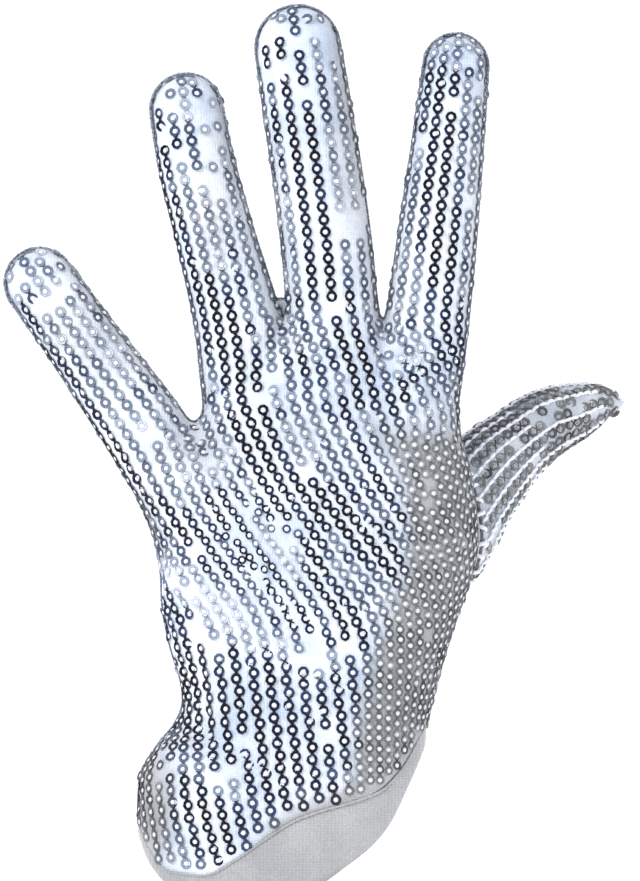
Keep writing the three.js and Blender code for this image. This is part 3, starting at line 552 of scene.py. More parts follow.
def body_layout(lower_line, row_count, lift):
    """Flat layout of the body between the finger roots and a lower line, as rows of points."""
    columns = COLUMNS_A_FINGER * len(FINGER_PATHS)
    line = curve_through(lower_line, 0, 1)
    low_left = side_of_body(lower_line[0][1] + lift, -1)[0]
    low_right = side_of_body(lower_line[-1][1] + lift, 1)[0]
    share = round_share(np.arange(COLUMNS_A_FINGER + 1), COLUMNS_A_FINGER)[:, None]
    top = [left[0] + (right[0] - left[0]) * share for left, right, _ in FINGER_ENDS]
    top = np.vstack([top[0]] + [part[1:] for part in top[1:]])
    even = round_share(np.arange(columns + 1), columns)
    low_x = low_left[0] + (low_right[0] - low_left[0]) * even
    bottom = np.stack([low_x, 0 * low_x, line(low_x) + lift], axis=1)
    bottom[0], bottom[-1] = low_left, low_right
    down = (np.arange(row_count + 1) / row_count) ** BODY_ROW_CROWDING
    left = side_of_body(top[0, 2] + (low_left[2] - top[0, 2]) * down, -1)
    right = side_of_body(top[-1, 2] + (low_right[2] - top[-1, 2]) * down, 1)
    left[0], right[0] = top[0], top[-1]
    top_share = (top[:, 0] - top[0, 0]) / (top[-1, 0] - top[0, 0])
    v = down[:, None, None]
    u = (top_share + (even - top_share) * down[:, None])[:, :, None]
    corners = (1 - v) * ((1 - u) * top[0] + u * top[-1]) + v * ((1 - u) * low_left + u * low_right)
    rows = (1 - v) * top + v * bottom + (1 - u) * left[:, None] + u * right[:, None] - corners
    heights = rows[:, :, 2].ravel()
    pulled = np.zeros(rows.shape[:2])
    for hand, end, root, near in ((-1, left, top[0, 2], 1 - u), (1, right, top[-1, 2], u)):
        edge = np.interp(np.minimum(heights, root), EDGE_HEIGHTS, SIDE_EDGES[hand]).reshape(rows.shape[:2])
        pulled += (edge - end[:, None, 0]) * near[:, :, 0] ** SIDE_PULL_POWER
    rows[:, :, 0] += pulled
    rows[:, :, 1] = 0
    return rows


def finger_layout(index):
    """Flat layout of one finger as rows of points from its root to its tip."""
    left, right, _ = FINGER_ENDS[index]
    share = round_share(np.arange(COLUMNS_A_FINGER + 1), COLUMNS_A_FINGER)[None, :, None]
    return left[:, None] + (right - left)[:, None] * share


def brought_to_face(layout, side):
    """A flat layout of rows of points, laid on one face of the glove."""
    return on_face(layout.reshape(-1, 3), side).reshape(layout.shape)


class Sheet:
    """One face of the glove: its body rows, its finger rows and the fingertips, on the outer surface."""

    def __init__(self, side):
        self.side = side
        self.body = brought_to_face(body_layout(BAND_TOP[side], BODY_ROWS, SEAM_GAP), side)
        self.fingers = [brought_to_face(finger_layout(i), side) for i in range(len(FINGER_PATHS))]
        self.poles = on_face(np.array([pole for _, _, pole in FINGER_ENDS]), side)

    def mesh(self):
        """Points and faces of the sheet, with outward faces."""
        rows, columns = self.body.shape[:2]
        points = [self.body.reshape(-1, 3)]
        total = rows * columns
        faces = grid_faces(np.arange(total).reshape(rows, columns))
        for f, finger in enumerate(self.fingers):
            root = np.arange(COLUMNS_A_FINGER + 1) + f * COLUMNS_A_FINGER
            upper = finger[1:].reshape(-1, 3)
            ids = np.vstack([root, np.arange(len(upper)).reshape(-1, COLUMNS_A_FINGER + 1) + total])
            points.append(upper)
            total += len(upper)
            faces += grid_faces(ids[::-1])
            points.append(self.poles[f][None])
            faces += [(total, b, a) for a, b in zip(ids[-1][:-1], ids[-1][1:])]
            total += 1
        if self.side == BACK:
            faces = [face[::-1] for face in faces]
        return np.vstack(points), faces


def grid_faces(ids):
    """Quads over a grid of point numbers."""
    quads = np.stack([ids[:-1, :-1], ids[:-1, 1:], ids[1:, 1:], ids[1:, :-1]], axis=-1)
    return [tuple(quad) for quad in quads.reshape(-1, 4).tolist()]


def tube_faces(rings, sides, capped=True):
    """Faces of a tube of rings of points, closed all round and, if capped, at both ends."""
    ids = np.arange(rings * sides).reshape(rings, sides)
    faces = grid_faces(np.hstack([ids, ids[:, :1]]))
    if capped:
        faces += [tuple(ids[0][::-1].tolist()), tuple(ids[-1].tolist())]
    return faces


def open_edges(faces):
    """Edges that only one face uses, each in that face's own direction."""
    edges = {}
    for face in faces:
        for a, b in zip(face, face[1:] + face[:1]):
            if edges.pop((b, a), None) is None:
                edges[(a, b)] = True
    return list(edges)


def solid_between(outer, inner, faces):
    """A closed solid between two matching sheets. The first sheet's faces look outward."""
    count = len(outer)
    back = [tuple(i + count for i in face[::-1]) for face in faces]
    rim = [(b, a, a + count, b + count) for a, b in open_edges(faces)]
    return np.vstack([outer, inner]), faces + back + rim


def placed(name, data):
    """A new object in the scene."""
    obj = bpy.data.objects.new(name, data)
    bpy.context.scene.collection.objects.link(obj)
    return obj


def mesh_object(name, points, faces, material):
    """A smooth mesh object in metres from points in millimetres."""
    mesh = bpy.data.meshes.new(name)
    mesh.from_pydata((points * MM).tolist(), [], faces)
    mesh.validate()
    mesh.polygons.foreach_set("use_smooth", [True] * len(mesh.polygons))
    mesh.materials.append(material)
    return placed(name, mesh)


def solid_object(name, points, faces, material):
    """A closed mesh object with its faces outward."""
    obj = mesh_object(name, points, faces, material)
    work = bmesh.new()
    work.from_mesh(obj.data)
    bmesh.ops.recalc_face_normals(work, faces=work.faces)
    work.to_mesh(obj.data)
    work.free()
    return obj


def keep_values(mesh, key, values):
    """Keeps a number at each point of a mesh, for its material to read."""
    layer = mesh.attributes.new(key, "FLOAT", "POINT")
    layer.data.foreach_set("value", values.astype(np.float32))


def copies_object(name, shape, faces, frames, material, attributes=None):
    """One mesh of many copies of a small shape. Frames are rows of centre, across, along and up."""
    centres, across, along, up = frames
    points = (centres[:, None] + shape[None, :, 0, None] * across[:, None]
              + shape[None, :, 1, None] * along[:, None] + shape[None, :, 2, None] * up[:, None])
    return joined_object(name, points, faces, material, attributes)


def joined_object(name, points, faces, material, attributes=None, smooth=True):
    """One mesh from many equal sets of points that share one list of faces."""
    copies, size = points.shape[:2]
    corner_counts = np.array([len(face) for face in faces])
    corners = np.concatenate([np.array(face) for face in faces])
    loops = (corners[None] + size * np.arange(copies)[:, None]).ravel()
    totals = np.tile(corner_counts, copies)
    starts = np.concatenate([[0], np.cumsum(totals)[:-1]])
    mesh = bpy.data.meshes.new(name)
    mesh.vertices.add(copies * size)
    mesh.loops.add(len(loops))
    mesh.polygons.add(len(totals))
    mesh.vertices.foreach_set("co", (points.reshape(-1, 3) * MM).astype(np.float32).ravel())
    mesh.loops.foreach_set("vertex_index", loops.astype(np.int32))
    mesh.polygons.foreach_set("loop_start", starts.astype(np.int32))
    mesh.polygons.foreach_set("use_smooth", np.full(len(totals), smooth))
    for key, values in (attributes or {}).items():
        keep_values(mesh, key, np.repeat(values, size))
    mesh.update(calc_edges=True)
    mesh.materials.append(material)
    return placed(name, mesh)


# Materials


class Nodes:
    """Short names for building one procedural material."""

    def __init__(self, name, roughness, specular):
        self.material = bpy.data.materials.new(name)
        self.material.use_nodes = True
        self.tree = self.material.node_tree
        self.shader = self.tree.nodes["Principled BSDF"]
        self.shader.inputs["Roughness"].default_value = roughness
        self.shader.inputs["Specular IOR Level"].default_value = specular
        self.place = self.add("ShaderNodeTexCoord").outputs["Object"]

    def add(self, kind, **values):
        node = self.tree.nodes.new(kind)
        for key, value in values.items():
            if hasattr(node, key):
                setattr(node, key, value)
            else:
                node.inputs[key.replace("_", " ")].default_value = value
        return node

    def join(self, source, target):
        self.tree.links.new(source, target)

    def feed(self, socket, value):
        """Joins a socket to another node's output, or sets it to a number."""
        if isinstance(value, bpy.types.NodeSocket):
            self.join(value, socket)
        else:
            socket.default_value = value

    def noise(self, scale, detail=3.0, roughness=0.5):
        node = self.add("ShaderNodeTexNoise", Scale=scale, Detail=detail, Roughness=roughness)
        self.join(self.place, node.inputs["Vector"])
        return node.outputs["Fac"]

    def ramp(self, factor, *stops):
        node = self.add("ShaderNodeValToRGB")
        elements = node.color_ramp.elements
        while len(elements) < len(stops):
            elements.new(0.5)
        for element, (position, colour) in zip(elements, stops):
            element.position = position
            element.color = (*colour, 1)
        self.join(factor, node.inputs["Fac"])
        return node.outputs["Color"]

    def mix(self, factor, first, second, blend="MIX"):
        node = self.add("ShaderNodeMix", data_type="RGBA", blend_type=blend)
        colours = [socket for socket in node.inputs if socket.type == "RGBA"]
        self.feed(node.inputs["Factor"], factor)
        self.feed(colours[0], first)
        self.feed(colours[1], second)
        return next(socket for socket in node.outputs if socket.type == "RGBA")

    def math(self, operation, *values):
        node = self.add("ShaderNodeMath", operation=operation)
        for socket, value in zip(node.inputs, values):
            self.feed(socket, value)
        return node.outputs[0]

    def wave(self, scale, direction, distortion):
        node = self.add("ShaderNodeTexWave", Scale=scale, Distortion=distortion, bands_direction=direction)
        self.join(self.place, node.inputs["Vector"])
        return node.outputs["Fac"]

    def bump(self, height, strength, distance):
        node = self.add("ShaderNodeBump", Strength=strength, Distance=distance)
        self.join(height, node.inputs["Height"])
        self.join(node.outputs["Normal"], self.shader.inputs["Normal"])

    def sheen(self, weight, roughness):
        self.shader.inputs["Sheen Weight"].default_value = weight
        self.shader.inputs["Sheen Roughness"].default_value = roughness

    def twist(self):
        """The fine slant of twisted thread."""
        self.bump(self.wave(1500, "DIAGONAL", 0.5), 0.4, 0.0001)

    def colour(self, source):
        self.join(source, self.shader.inputs["Base Color"])

    def grained(self, base, share, scale, dark, light):
        """Colours the surface with a base that fine grain makes darker and lighter."""
        grain = self.ramp(self.noise(scale, detail=2.0), (0.35, dark), (0.65, light))
        self.colour(self.mix(share, base, grain, "MULTIPLY"))


def cloth_material():
    """Bluish white stretch knit, with painted shade in grey along the sides, on the thumb, in the strip down
    the right and by the band.
    """
    nodes = Nodes("sequined_cloth_knit", roughness=0.78, specular=0.3)
    nodes.sheen(0.3, 0.4)
    zones = nodes.noise(34, detail=4.0, roughness=0.6)
    pale = nodes.ramp(zones, (0.3, (0.50, 0.59, 0.73)), (0.5, (0.74, 0.80, 0.89)), (0.68, (0.91, 0.93, 0.97)))
    # The grey is painted shade, mixed in by the cloth's share of grey.
    grey = nodes.ramp(zones, (0.3, (0.30, 0.305, 0.32)), (0.7, (0.44, 0.445, 0.46)))
    share = nodes.add("ShaderNodeAttribute", attribute_name="grey").outputs["Fac"]
    nodes.grained(nodes.mix(share, pale, grey), 0.5, 900, (0.80, 0.80, 0.80), (1.0, 1.0, 1.0))
    ribs = nodes.math("MULTIPLY", nodes.wave(420, "X", 1.2), nodes.wave(520, "Z", 1.2))
    nodes.bump(ribs, 0.5, 0.0003)
    return nodes.material


def band_material():
    """White knit of the band, painted pale grey as painted shade, with fine upright ribs."""
    nodes = Nodes("band_fine_knit", roughness=0.85, specular=0.25)
    nodes.sheen(0.3, 0.5)
    zones = nodes.noise(60, detail=4.0, roughness=0.6)
    base = nodes.ramp(zones, (0.32, (0.34, 0.345, 0.355)), (0.68, (0.43, 0.435, 0.44)))
    nodes.grained(base, 0.5, 1400, (0.78, 0.78, 0.78), (1.0, 1.0, 1.0))
    ribs = nodes.math("MULTIPLY", nodes.wave(330, "X", 0.6), nodes.wave(430, "Z", 0.6))
    nodes.bump(ribs, 0.6, 0.0004)
    return nodes.material


def toned(nodes, shade_stops, grey_stops):
    """Colour of a sequin or its thread, from its shade and its share of plain grey."""
    shade = nodes.add("ShaderNodeAttribute", attribute_name="shade").outputs["Fac"]
    grey = nodes.add("ShaderNodeAttribute", attribute_name="grey").outputs["Fac"]
    return nodes.mix(grey, nodes.ramp(shade, *shade_stops), nodes.ramp(shade, *grey_stops))


def sequin_material():
    """Glossy navy plastic whose own tone differs from one sequin to the next, painted towards pale steel blue
    as painted highlight and towards grey as painted shade.
    """
    nodes = Nodes("sequin_foil", roughness=0.34, specular=0.13)
    nodes.shader.inputs["Coat Weight"].default_value = 0.03
    nodes.shader.inputs["Coat Roughness"].default_value = 0.15
    # The blues run from navy to pale steel, the pale end being painted highlight; the greys are painted
    # shade.
    blues = ((0.0, (0.001, 0.002, 0.008)), (0.32, (0.005, 0.012, 0.045)), (0.48, (0.030, 0.058, 0.135)),
             (0.64, (0.17, 0.22, 0.31)), (0.82, (0.40, 0.46, 0.56)), (1.0, (0.62, 0.67, 0.75)))
    greys = ((0.0, (0.006, 0.006, 0.008)), (0.35, (0.050, 0.052, 0.056)), (0.6, (0.15, 0.155, 0.16)),
             (1.0, (0.36, 0.37, 0.38)))
    wear = nodes.ramp(nodes.noise(1600, detail=2.0), (0.4, (0.75, 0.75, 0.75)), (0.7, (1.2, 1.2, 1.25)))
    nodes.colour(nodes.mix(0.6, toned(nodes, blues, greys), wear, "MULTIPLY"))
    roughness = nodes.math("MULTIPLY_ADD", nodes.noise(700, detail=2.0), 0.24, 0.2)
    nodes.join(roughness, nodes.shader.inputs["Roughness"])
    nodes.bump(nodes.noise(1300, detail=1.0), 0.18, 0.0002)
    return nodes.material


def sequin_thread_material(name, specular, shades, greys, dark, light):
    """Thread sewn with the sequins, whose colour runs with theirs, painted highlight and painted shade
    included.
    """
    nodes = Nodes(name, roughness=0.6, specular=specular)
    nodes.grained(toned(nodes, shades, greys), 0.6, 1500, dark, light)
    nodes.twist()
    return nodes.material


def knot_material():
    """White thread in the middle of each sequin, painted grey as painted shade where the sequins are grey."""
    whites = ((0.0, (0.86, 0.89, 0.95)), (0.7, (0.90, 0.92, 0.97)), (1.0, (0.93, 0.95, 0.98)))
    greys = ((0.0, (0.78, 0.79, 0.80)), (0.5, (0.74, 0.75, 0.76)), (1.0, (0.66, 0.67, 0.68)))
    return sequin_thread_material("sequin_knot_thread", 0.4, whites, greys, (0.8, 0.8, 0.82), (1.0, 1.0, 1.0))


def link_material():
    """Dark thread between sequins, painted paler where the sequins get painted highlight and grey where they
    get painted shade.
    """
    darks = ((0.0, (0.004, 0.006, 0.018)), (0.4, (0.012, 0.018, 0.045)), (0.7, (0.16, 0.19, 0.26)),
             (1.0, (0.40, 0.44, 0.52)))
    greys = ((0.0, (0.02, 0.02, 0.025)), (0.5, (0.08, 0.083, 0.088)), (1.0, (0.24, 0.25, 0.26)))
    return sequin_thread_material("sequin_link_thread", 0.35, darks, greys, (0.7, 0.7, 0.7), (1.1, 1.1, 1.1))


def thread_material(name, dark, light):
    """Twisted sewing thread."""
    nodes = Nodes(name, roughness=0.6, specular=0.4)
    nodes.colour(nodes.ramp(nodes.noise(1100, detail=2.0), (0.35, dark), (0.65, light)))
    nodes.twist()
    return nodes.material


def floor_material():
    """Pale, slightly glowing studio paper."""
    nodes = Nodes("pale_floor", roughness=0.9, specular=0.2)
    nodes.shader.inputs["Emission Color"].default_value = (1, 1, 1, 1)
    nodes.shader.inputs["Emission Strength"].default_value = FLOOR_GLOW
    nodes.colour(nodes.ramp(nodes.noise(6), (0.4, (0.95, 0.95, 0.955)), (0.6, (0.97, 0.97, 0.975))))
    return nodes.material


CLOTH = cloth_material()
BAND = band_material()
SEQUIN = sequin_material()
WHITE_THREAD = thread_material("white_thread", (0.72, 0.76, 0.84), (0.95, 0.96, 0.99))
SEAM_THREAD = thread_material("seam_thread", (0.20, 0.22, 0.27), (0.50, 0.53, 0.60))
SEAM_CLOTH = thread_material("seam_edge", (0.06, 0.07, 0.10), (0.24, 0.27, 0.33))
GREY_CLOTH_EDGE = thread_material("thumb_seam_edge", (0.05, 0.05, 0.055), (0.16, 0.165, 0.17))
KNOT = knot_material()
# The thumb's knots, painted grey as painted shade.
PAINTED_SHADE_KNOT = thread_material("knot_thread_painted_shade", (0.20, 0.20, 0.205), (0.38, 0.39, 0.40))
LINK = link_material()


# The cloth

SHEETS = {side: Sheet(side) for side in (BACK, PALM)}


def thumb_frames(at):
    """Centre and half width on the thumb's path, with its sideways and depth directions."""
    centre, _ = path_at(THUMB_PATH, at)
    before, _ = path_at(THUMB_PATH, np.asarray(at) - 0.5)
    after, _ = path_at(THUMB_PATH, np.asarray(at) + 0.5)
    along = unit((after - before)[:, :3])
    aside = unit(np.cross(along, [0, 1, 0]))
    return centre[:, :3], centre[:, 3], aside, np.cross(aside, along)


def thumb_points(at, angle, wall=0.0, seam=0.0):
    """Points on the thumb's tube at places on its path and angles from its side seam."""
    centre, half, aside, deep = thumb_frames(at)
    wide = np.maximum(half - wall, half * THINNEST_WIDTH)[:, None]
    thick = np.maximum(half * THUMB_FLATNESS - wall, half * THINNEST_DEPTH)[:, None]
    angle = np.asarray(angle)[:, None]
    return centre + aside * np.cos(angle) * wide + deep * (np.sin(angle) * thick + seam)


def thumb_start(angles, clearance):
    """Place on the path, for each angle, where the thumb comes out of the body."""
    near = np.full(len(angles), THUMB_SEARCH_START)
    far = np.full(len(angles), THUMB_SEARCH_END)

    def is_inside(at):
        return glove_field(thumb_points(at, angles)) < clearance

    return halved(near, far, is_inside, THUMB_HALVINGS)[1]


def thumb_half_mesh(side):
    """Half of the thumb's tube, from the body's face to the pointed tip."""
    angles = side * np.pi * np.arange(THUMB_COLUMNS + 1) / THUMB_COLUMNS
    start = thumb_start(angles, SEAM_GAP)
    end = len(THUMB_PATH) - 1
    share = (np.arange(THUMB_ROWS + 1) / THUMB_ROWS)[:, None]
    at = start + (end - start) * share
    grid_angles = np.broadcast_to(angles, at.shape)
    seam = side * SEAM_GAP / 2
    sheets = []
    for wall in (0.0, CLOTH_WALL):
        points = thumb_points(at.ravel(), grid_angles.ravel(), wall, seam)
        centre, half, _, deep = thumb_frames([end])
        along = unit(THUMB_PATH[-1, :3] - THUMB_PATH[-2, :3])
        tip = centre[0] + deep[0] * seam + along * (half[0] if wall == 0 else THUMB_TIP_WALL)
        sheets.append(np.vstack([points, tip]))
    ids = np.arange(at.size).reshape(at.shape)
    faces = grid_faces(ids)
    faces += [(a, b, at.size) for a, b in zip(ids[-1][:-1], ids[-1][1:])]
    if side == PALM:
        faces = [face[::-1] for face in faces]
    return solid_between(sheets[0], sheets[1], faces)


def thumb_hollow_object():
    """The filled hollow of the thumb's root, used to open the palm panel."""
    angles = 2 * np.pi * np.arange(2 * THUMB_COLUMNS) / (2 * THUMB_COLUMNS)
    at = np.linspace(0, THUMB_HOLLOW_END, THUMB_HOLLOW_RINGS)
    grid_at = np.repeat(at, len(angles))
    points = thumb_points(grid_at, np.tile(angles, len(at)), CLOTH_WALL)
    return solid_object("thumb_hollow_cutter", points, tube_faces(len(at), len(angles)), CLOTH)


def cut_with(obj, cutter):
    """Cuts the cutter's form out of obj for good, and deletes the cutter."""
    modifier = obj.modifiers.new("cut", "BOOLEAN")
    modifier.operation = "DIFFERENCE"
    modifier.solver = "EXACT"
    modifier.object = cutter
    depsgraph = bpy.context.evaluated_depsgraph_get()
    result = bpy.data.meshes.new_from_object(obj.evaluated_get(depsgraph))
    obj.modifiers.clear()
    obj.data = result
    bpy.data.objects.remove(cutter)


def sew(obj, node_names=()):
    """Rides a piece with the glove, in place of its plain solids."""
    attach(obj, "root")
    if node_names:
        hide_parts(*node_names)


def make_panel(name, side, nodes):
    """The cloth of one face of the glove, in one piece."""
    points, faces = SHEETS[side].mesh()
    inner = points - normals_of(glove_field, points) * CLOTH_WALL
    panel = solid_object(name, *solid_between(points, inner, faces), CLOTH)
    if side == PALM:
        cut_with(panel, thumb_hollow_object())
    colour_cloth(panel)
    sew(panel, nodes)


def make_thumb_half(name, side, node):
    """The cloth of one half of the thumb."""
    half = solid_object(name, *thumb_half_mesh(side), CLOTH)
    # The thumb's cloth is painted grey all over as painted shade.
    colour_cloth(half, THUMB_CLOTH_GREY)
    sew(half, [node])


def on_back(points, values):
    """Values at the points of the back, and nought at those of the palm side."""
    return np.where(points[:, 1] < 0, values, 0)


def eased(value):
    """A share from 0 to 1 that starts and ends softly."""
    value = np.clip(value, 0, 1)
    return value * value * (3 - 2 * value)


def zone_weight(points, x, z, reach_x, reach_z):
    """How far points of the back lie in a round zone, from 0 to 1."""
    away = ((points[:, 0] - x) / reach_x) ** 2 + ((points[:, 2] - z) / reach_z) ** 2
    return on_back(points, np.exp(-away ** ZONE_SHARPNESS))


def stroke_weight(points, *ends, breadth):
    """How far points of the back lie in a stroke along a line, from 0 to 1."""
    aside, past = off_line(points[:, 0], points[:, 2], *ends)
    away = (aside / breadth) ** 2 + (past / breadth) ** 2
    return on_back(points, np.exp(-away ** ZONE_SHARPNESS))


def strip_weight(points):
    """How far points lie in the strip down the right edge of the back, where cloth and sequins get painted
    shade in grey, from 0 to 1.
    """
    inward = body_right(points[:, 2]) - points[:, 0]
    across = eased((STRIP_BREADTH - inward) / STRIP_SOFTNESS + 0.5)
    down = eased((STRIP_TOP - points[:, 2]) / STRIP_SOFTNESS + 0.5)
    return on_back(points, across * down)


def bunching(points):
    """Changes of sequin size and knot size at points, from the bunched zones alone."""
    values = np.zeros((len(points), 2))
    for *zone, size, knot in BUNCHED_ZONES:
        values += zone_weight(points, *zone)[:, None] * np.array([size, knot])
    return values.T


def crowding(points):
    """Size of the sequins, spacing of their rows and size of their knots, as shares of the plain ones."""
    strip = strip_weight(points)
    size, knot = bunching(points) * (1 - strip)
    sizes = np.clip(1 + size + STRIP_SEQUIN_CHANGE * strip, SMALLEST_SEQUIN, 1)
    knots = np.clip(1 + knot + STRIP_KNOT_CHANGE * strip, 1, LARGEST_KNOT)
    return sizes, 1 + STRIP_SPACING_CHANGE * strip, knots


def hem_weight(points):
    """How near points of the back lie to the band, on the thumb's side, where the cloth is painted grey as
    painted shade.
    """
    above = points[:, 2] - np.interp(points[:, 0], *np.array(BAND_TOP[BACK]).T)
    from_left = eased((points[:, 0] - HEM_GREY_START) / HEM_GREY_SOFTNESS)
    return on_back(points, eased((HEM_GREY_REACH - above) / HEM_GREY_REACH) * from_left)


def tones(points, field):
    """Shade from navy to pale steel, in which the zones and strokes paint highlight, and share of grey, which
    is painted shade, at points on a face of the glove.
    """
    normals = normals_of(field, points)
    # Painted shade: grey where the surface turns aside from the front, more towards the thumb, in the strip
    # and along the band.
    towards_thumb = np.maximum(normals[:, 0], 0)
    at_side = (1 - np.abs(normals[:, 1])) * (SIDE_GREY + THUMB_SIDE_GREY * towards_thumb)
    strip = strip_weight(points)
    # The plain shade is pale with painted highlight, which the zones and strokes take off or add.
    shade = np.full(len(points), PLAIN_SHADE)
    grey = at_side + STRIP_GREY * strip + hem_weight(points)
    for *zone, lift, plain in TONE_ZONES:
        weight = zone_weight(points, *zone) * (1 - strip)
        shade += lift * weight
        grey += plain * weight
    for *ends, breadth, lift in TONE_STROKES:
        weight = stroke_weight(points, *ends, breadth=breadth) * (1 - strip)
        shade += lift * weight
        grey -= STROKE_CLEARING * weight
    return shade, np.clip(grey, 0, 1)


def colour_cloth(obj, even_grey=None):
    """Keeps the cloth's share of grey, which is painted shade, at each point of its mesh, from the tables or
    the same all over.
    """
    flat = np.empty(len(obj.data.vertices) * 3)
    obj.data.vertices.foreach_get("co", flat)
    if even_grey is None:
        grey = tones(flat.reshape(-1, 3) / MM, glove_field)[1]
    else:
        grey = np.full(len(obj.data.vertices), even_grey)
    keep_values(obj.data, "grey", grey)


def band_half(side, share, columns):
    """Points of the band at a share of its height on one face, from left to right."""
    low = curve_through(HEM[side], 0, 1)
    high = curve_through(BAND_TOP[side], 0, 1)
    first = side_of_body(HEM[side][0][1] * (1 - share) + BAND_TOP[side][0][1] * share, -1)[0]
    last = side_of_body(HEM[side][-1][1] * (1 - share) + BAND_TOP[side][-1][1] * share, 1)[0]
    x = first[0] + (last[0] - first[0]) * round_share(np.arange(columns + 1), columns)
    height = low(x) * (1 - share) + high(x) * share
    points = on_face(np.stack([x, 0 * x, height], axis=1), side)
    points[0], points[-1] = first, last
    return points


def band_ring(share, columns=96):
    """Points of the band all round the wrist at a share of its height."""
    return np.vstack([band_half(BACK, share, columns), band_half(PALM, share, columns)[::-1][1:-1]])


def make_band():
    """The knit band, swelling gently between its two edges."""
    rings = np.stack([band_ring(row / BAND_ROWS) for row in range(BAND_ROWS + 1)])
    normals = normals_of(glove_field, rings.reshape(-1, 3)).reshape(rings.shape)
    swell = BAND_SWELL * np.sin(np.pi * np.linspace(0, 1, BAND_ROWS + 1))[:, None, None] - BAND_SINK
    outer = rings + normals * swell
    inner = rings - normals * BAND_WALL
    faces = tube_faces(*outer.shape[:2], capped=False)
    band = solid_object("knit_band", *solid_between(outer.reshape(-1, 3), inner.reshape(-1, 3), faces), BAND)
    sew(band, ["cuff_band"])


make_panel("sequined_back", BACK, ["back_panel", *(f"{name}_back" for name in FINGERS)])
make_panel("sequined_palm", PALM, ["palm_panel", *(f"{name}_palm" for name in FINGERS)])
make_thumb_half("sequined_thumb_back", BACK, "thumb_back")
make_thumb_half("sequined_thumb_palm", PALM, "thumb_palm")
make_band()


# Rows of sequins


def steps_of(line):
    """Distances from each point of a line to the next."""
    return np.linalg.norm(np.diff(line, axis=0), axis=1)


def running(steps):
    """Running total of steps, from nought."""
    return np.concatenate([[0], np.cumsum(steps)])


def points_along(line, length, at):
    """Points at distances along a line, of which the length up to each of its points is known."""
    return np.stack([np.interp(at, length, line[:, key]) for key in range(3)], axis=1)


def at_arc_share(row, shares):
    """Points at shares of the length of a line of points."""
    length = running(steps_of(row))
    return points_along(row, length, np.clip(shares, 0, 1) * length[-1])


def root_points(sheet, rows):
    """Points of the body's top edge at which rows of sequins arrive, counted over all the fingers."""
    length = running(steps_of(sheet.body[0]))
    edges = length[::COLUMNS_A_FINGER] / length[-1]
    shares = np.interp((rows + 0.5) / FINGER_SEQUIN_ROWS, np.arange(len(edges)), edges)
    return at_arc_share(sheet.body[0], shares)


def section_at(heights):
    """Middle of the body's section at heights, half breadth of its flat part and radius of its corners."""
    left = np.interp(np.minimum(heights, LITTLE_ROOT_HEIGHT), EDGE_HEIGHTS, SIDE_EDGES[-1])
    right = np.interp(np.minimum(heights, INDEX_ROOT_HEIGHT), EDGE_HEIGHTS, SIDE_EDGES[1])
    half_width = (right - left) / 2
    rounding = np.minimum(body_half(heights), half_width) * BODY_ROUNDING_SHARE
    return (left + right) / 2, half_width - rounding, rounding


def arc_at(x, heights):
    """Distance round the body's section from its middle to x."""
    middle, flat, rounding = section_at(heights)
    away = np.abs(x - middle)
    corner = rounding * np.arcsin(np.clip((away - flat) / rounding, 0, 1))
    return np.sign(x - middle) * (np.minimum(away, flat) + corner)


def x_at_arc(arcs, heights):
    """The x that lies at a distance round the body's section from its middle."""
    middle, flat, rounding = section_at(heights)
    away = np.abs(arcs)
    corner = rounding * np.sin(np.clip((away - flat) / rounding, 0, math.pi / 2))
    return middle + np.sign(arcs) * (np.minimum(away, flat) + corner)


def row_arcs(rows, heights, side):
    """Distance round the body of each row at each height, spaced as the grey strip crowds them."""
    arcs = np.arange(-ARC_REACH, ARC_REACH, ARC_STEP)
    starts = arc_at(curve_through(ANCHOR_LINE[side], 0, 1)(heights), heights)
    found = []
    for height, start in zip(heights, starts):
        level = np.full(len(arcs), height)
        spots = np.stack([x_at_arc(arcs, level), np.full(len(arcs), side), level], axis=1)
        passed = np.cumsum(ARC_STEP / (ROW_SPACING * crowding(spots)[1]))
        wanted = np.interp(start, arcs, passed) + rows + 0.5 - FINGER_SEQUIN_ROWS
        found.append(np.interp(wanted, passed, arcs))
    return np.array(found)


def body_lines(sheet):
    """Sequin lines down the body by row number.

    Rows below zero start at the left seam, and halves lie between the others.
    """
    count_of_rows = FINGER_SEQUIN_ROWS * len(FINGER_PATHS)
    rows = np.arange(-2 * SIDE_ROWS, 2 * count_of_rows - 1) / 2
    heights = np.arange(LOWEST_ROW_END, ROW_TABLE_TOP, ROW_TABLE_STEP)
    table = row_arcs(rows, heights, sheet.side)
    band_top = curve_through(BAND_TOP[sheet.side], 0, 1)
    lines = {}
    for row, root, arcs_by_height in zip(rows, root_points(sheet, rows), table.T):
        top = root[2] if row >= 0 else LITTLE_ROOT_HEIGHT
        z = np.linspace(top, LOWEST_ROW_END, ROW_POINTS)
        arcs = np.interp(z, heights, arcs_by_height)
        if row >= 0:
            gap = arc_at(root[0], root[2]) - arcs[0]
            arcs += gap * (1 - eased((top - z) / ROW_SETTLING))
        steady = strip_weight(np.stack([x_at_arc(arcs, z), np.full(len(z), sheet.side), z], axis=1))
        arcs += ROW_WAVER * np.sin(z + ROW_WAVER_TURN * row) * (1 - steady)
        x = x_at_arc(arcs, z)
        line = on_face(np.stack([x, 0 * x, z], axis=1), sheet.side)
        _, flat, rounding = section_at(z)
        past_seam = np.abs(arcs) > flat + rounding * math.pi / 2 - SEAM_MARGIN
        line[past_seam | (z < band_top(x) + BAND_CLEARANCE)] = np.nan
        lines[row] = line
    return lines


def finger_lines(sheet, index):
    """Sequin lines along one finger from its root to its tip."""
    shares = (np.arange(FINGER_SEQUIN_ROWS) + 0.5) / FINGER_SEQUIN_ROWS
    rows = np.array([at_arc_share(row, shares) for row in sheet.fingers[index]])
    return rows.transpose(1, 0, 2)


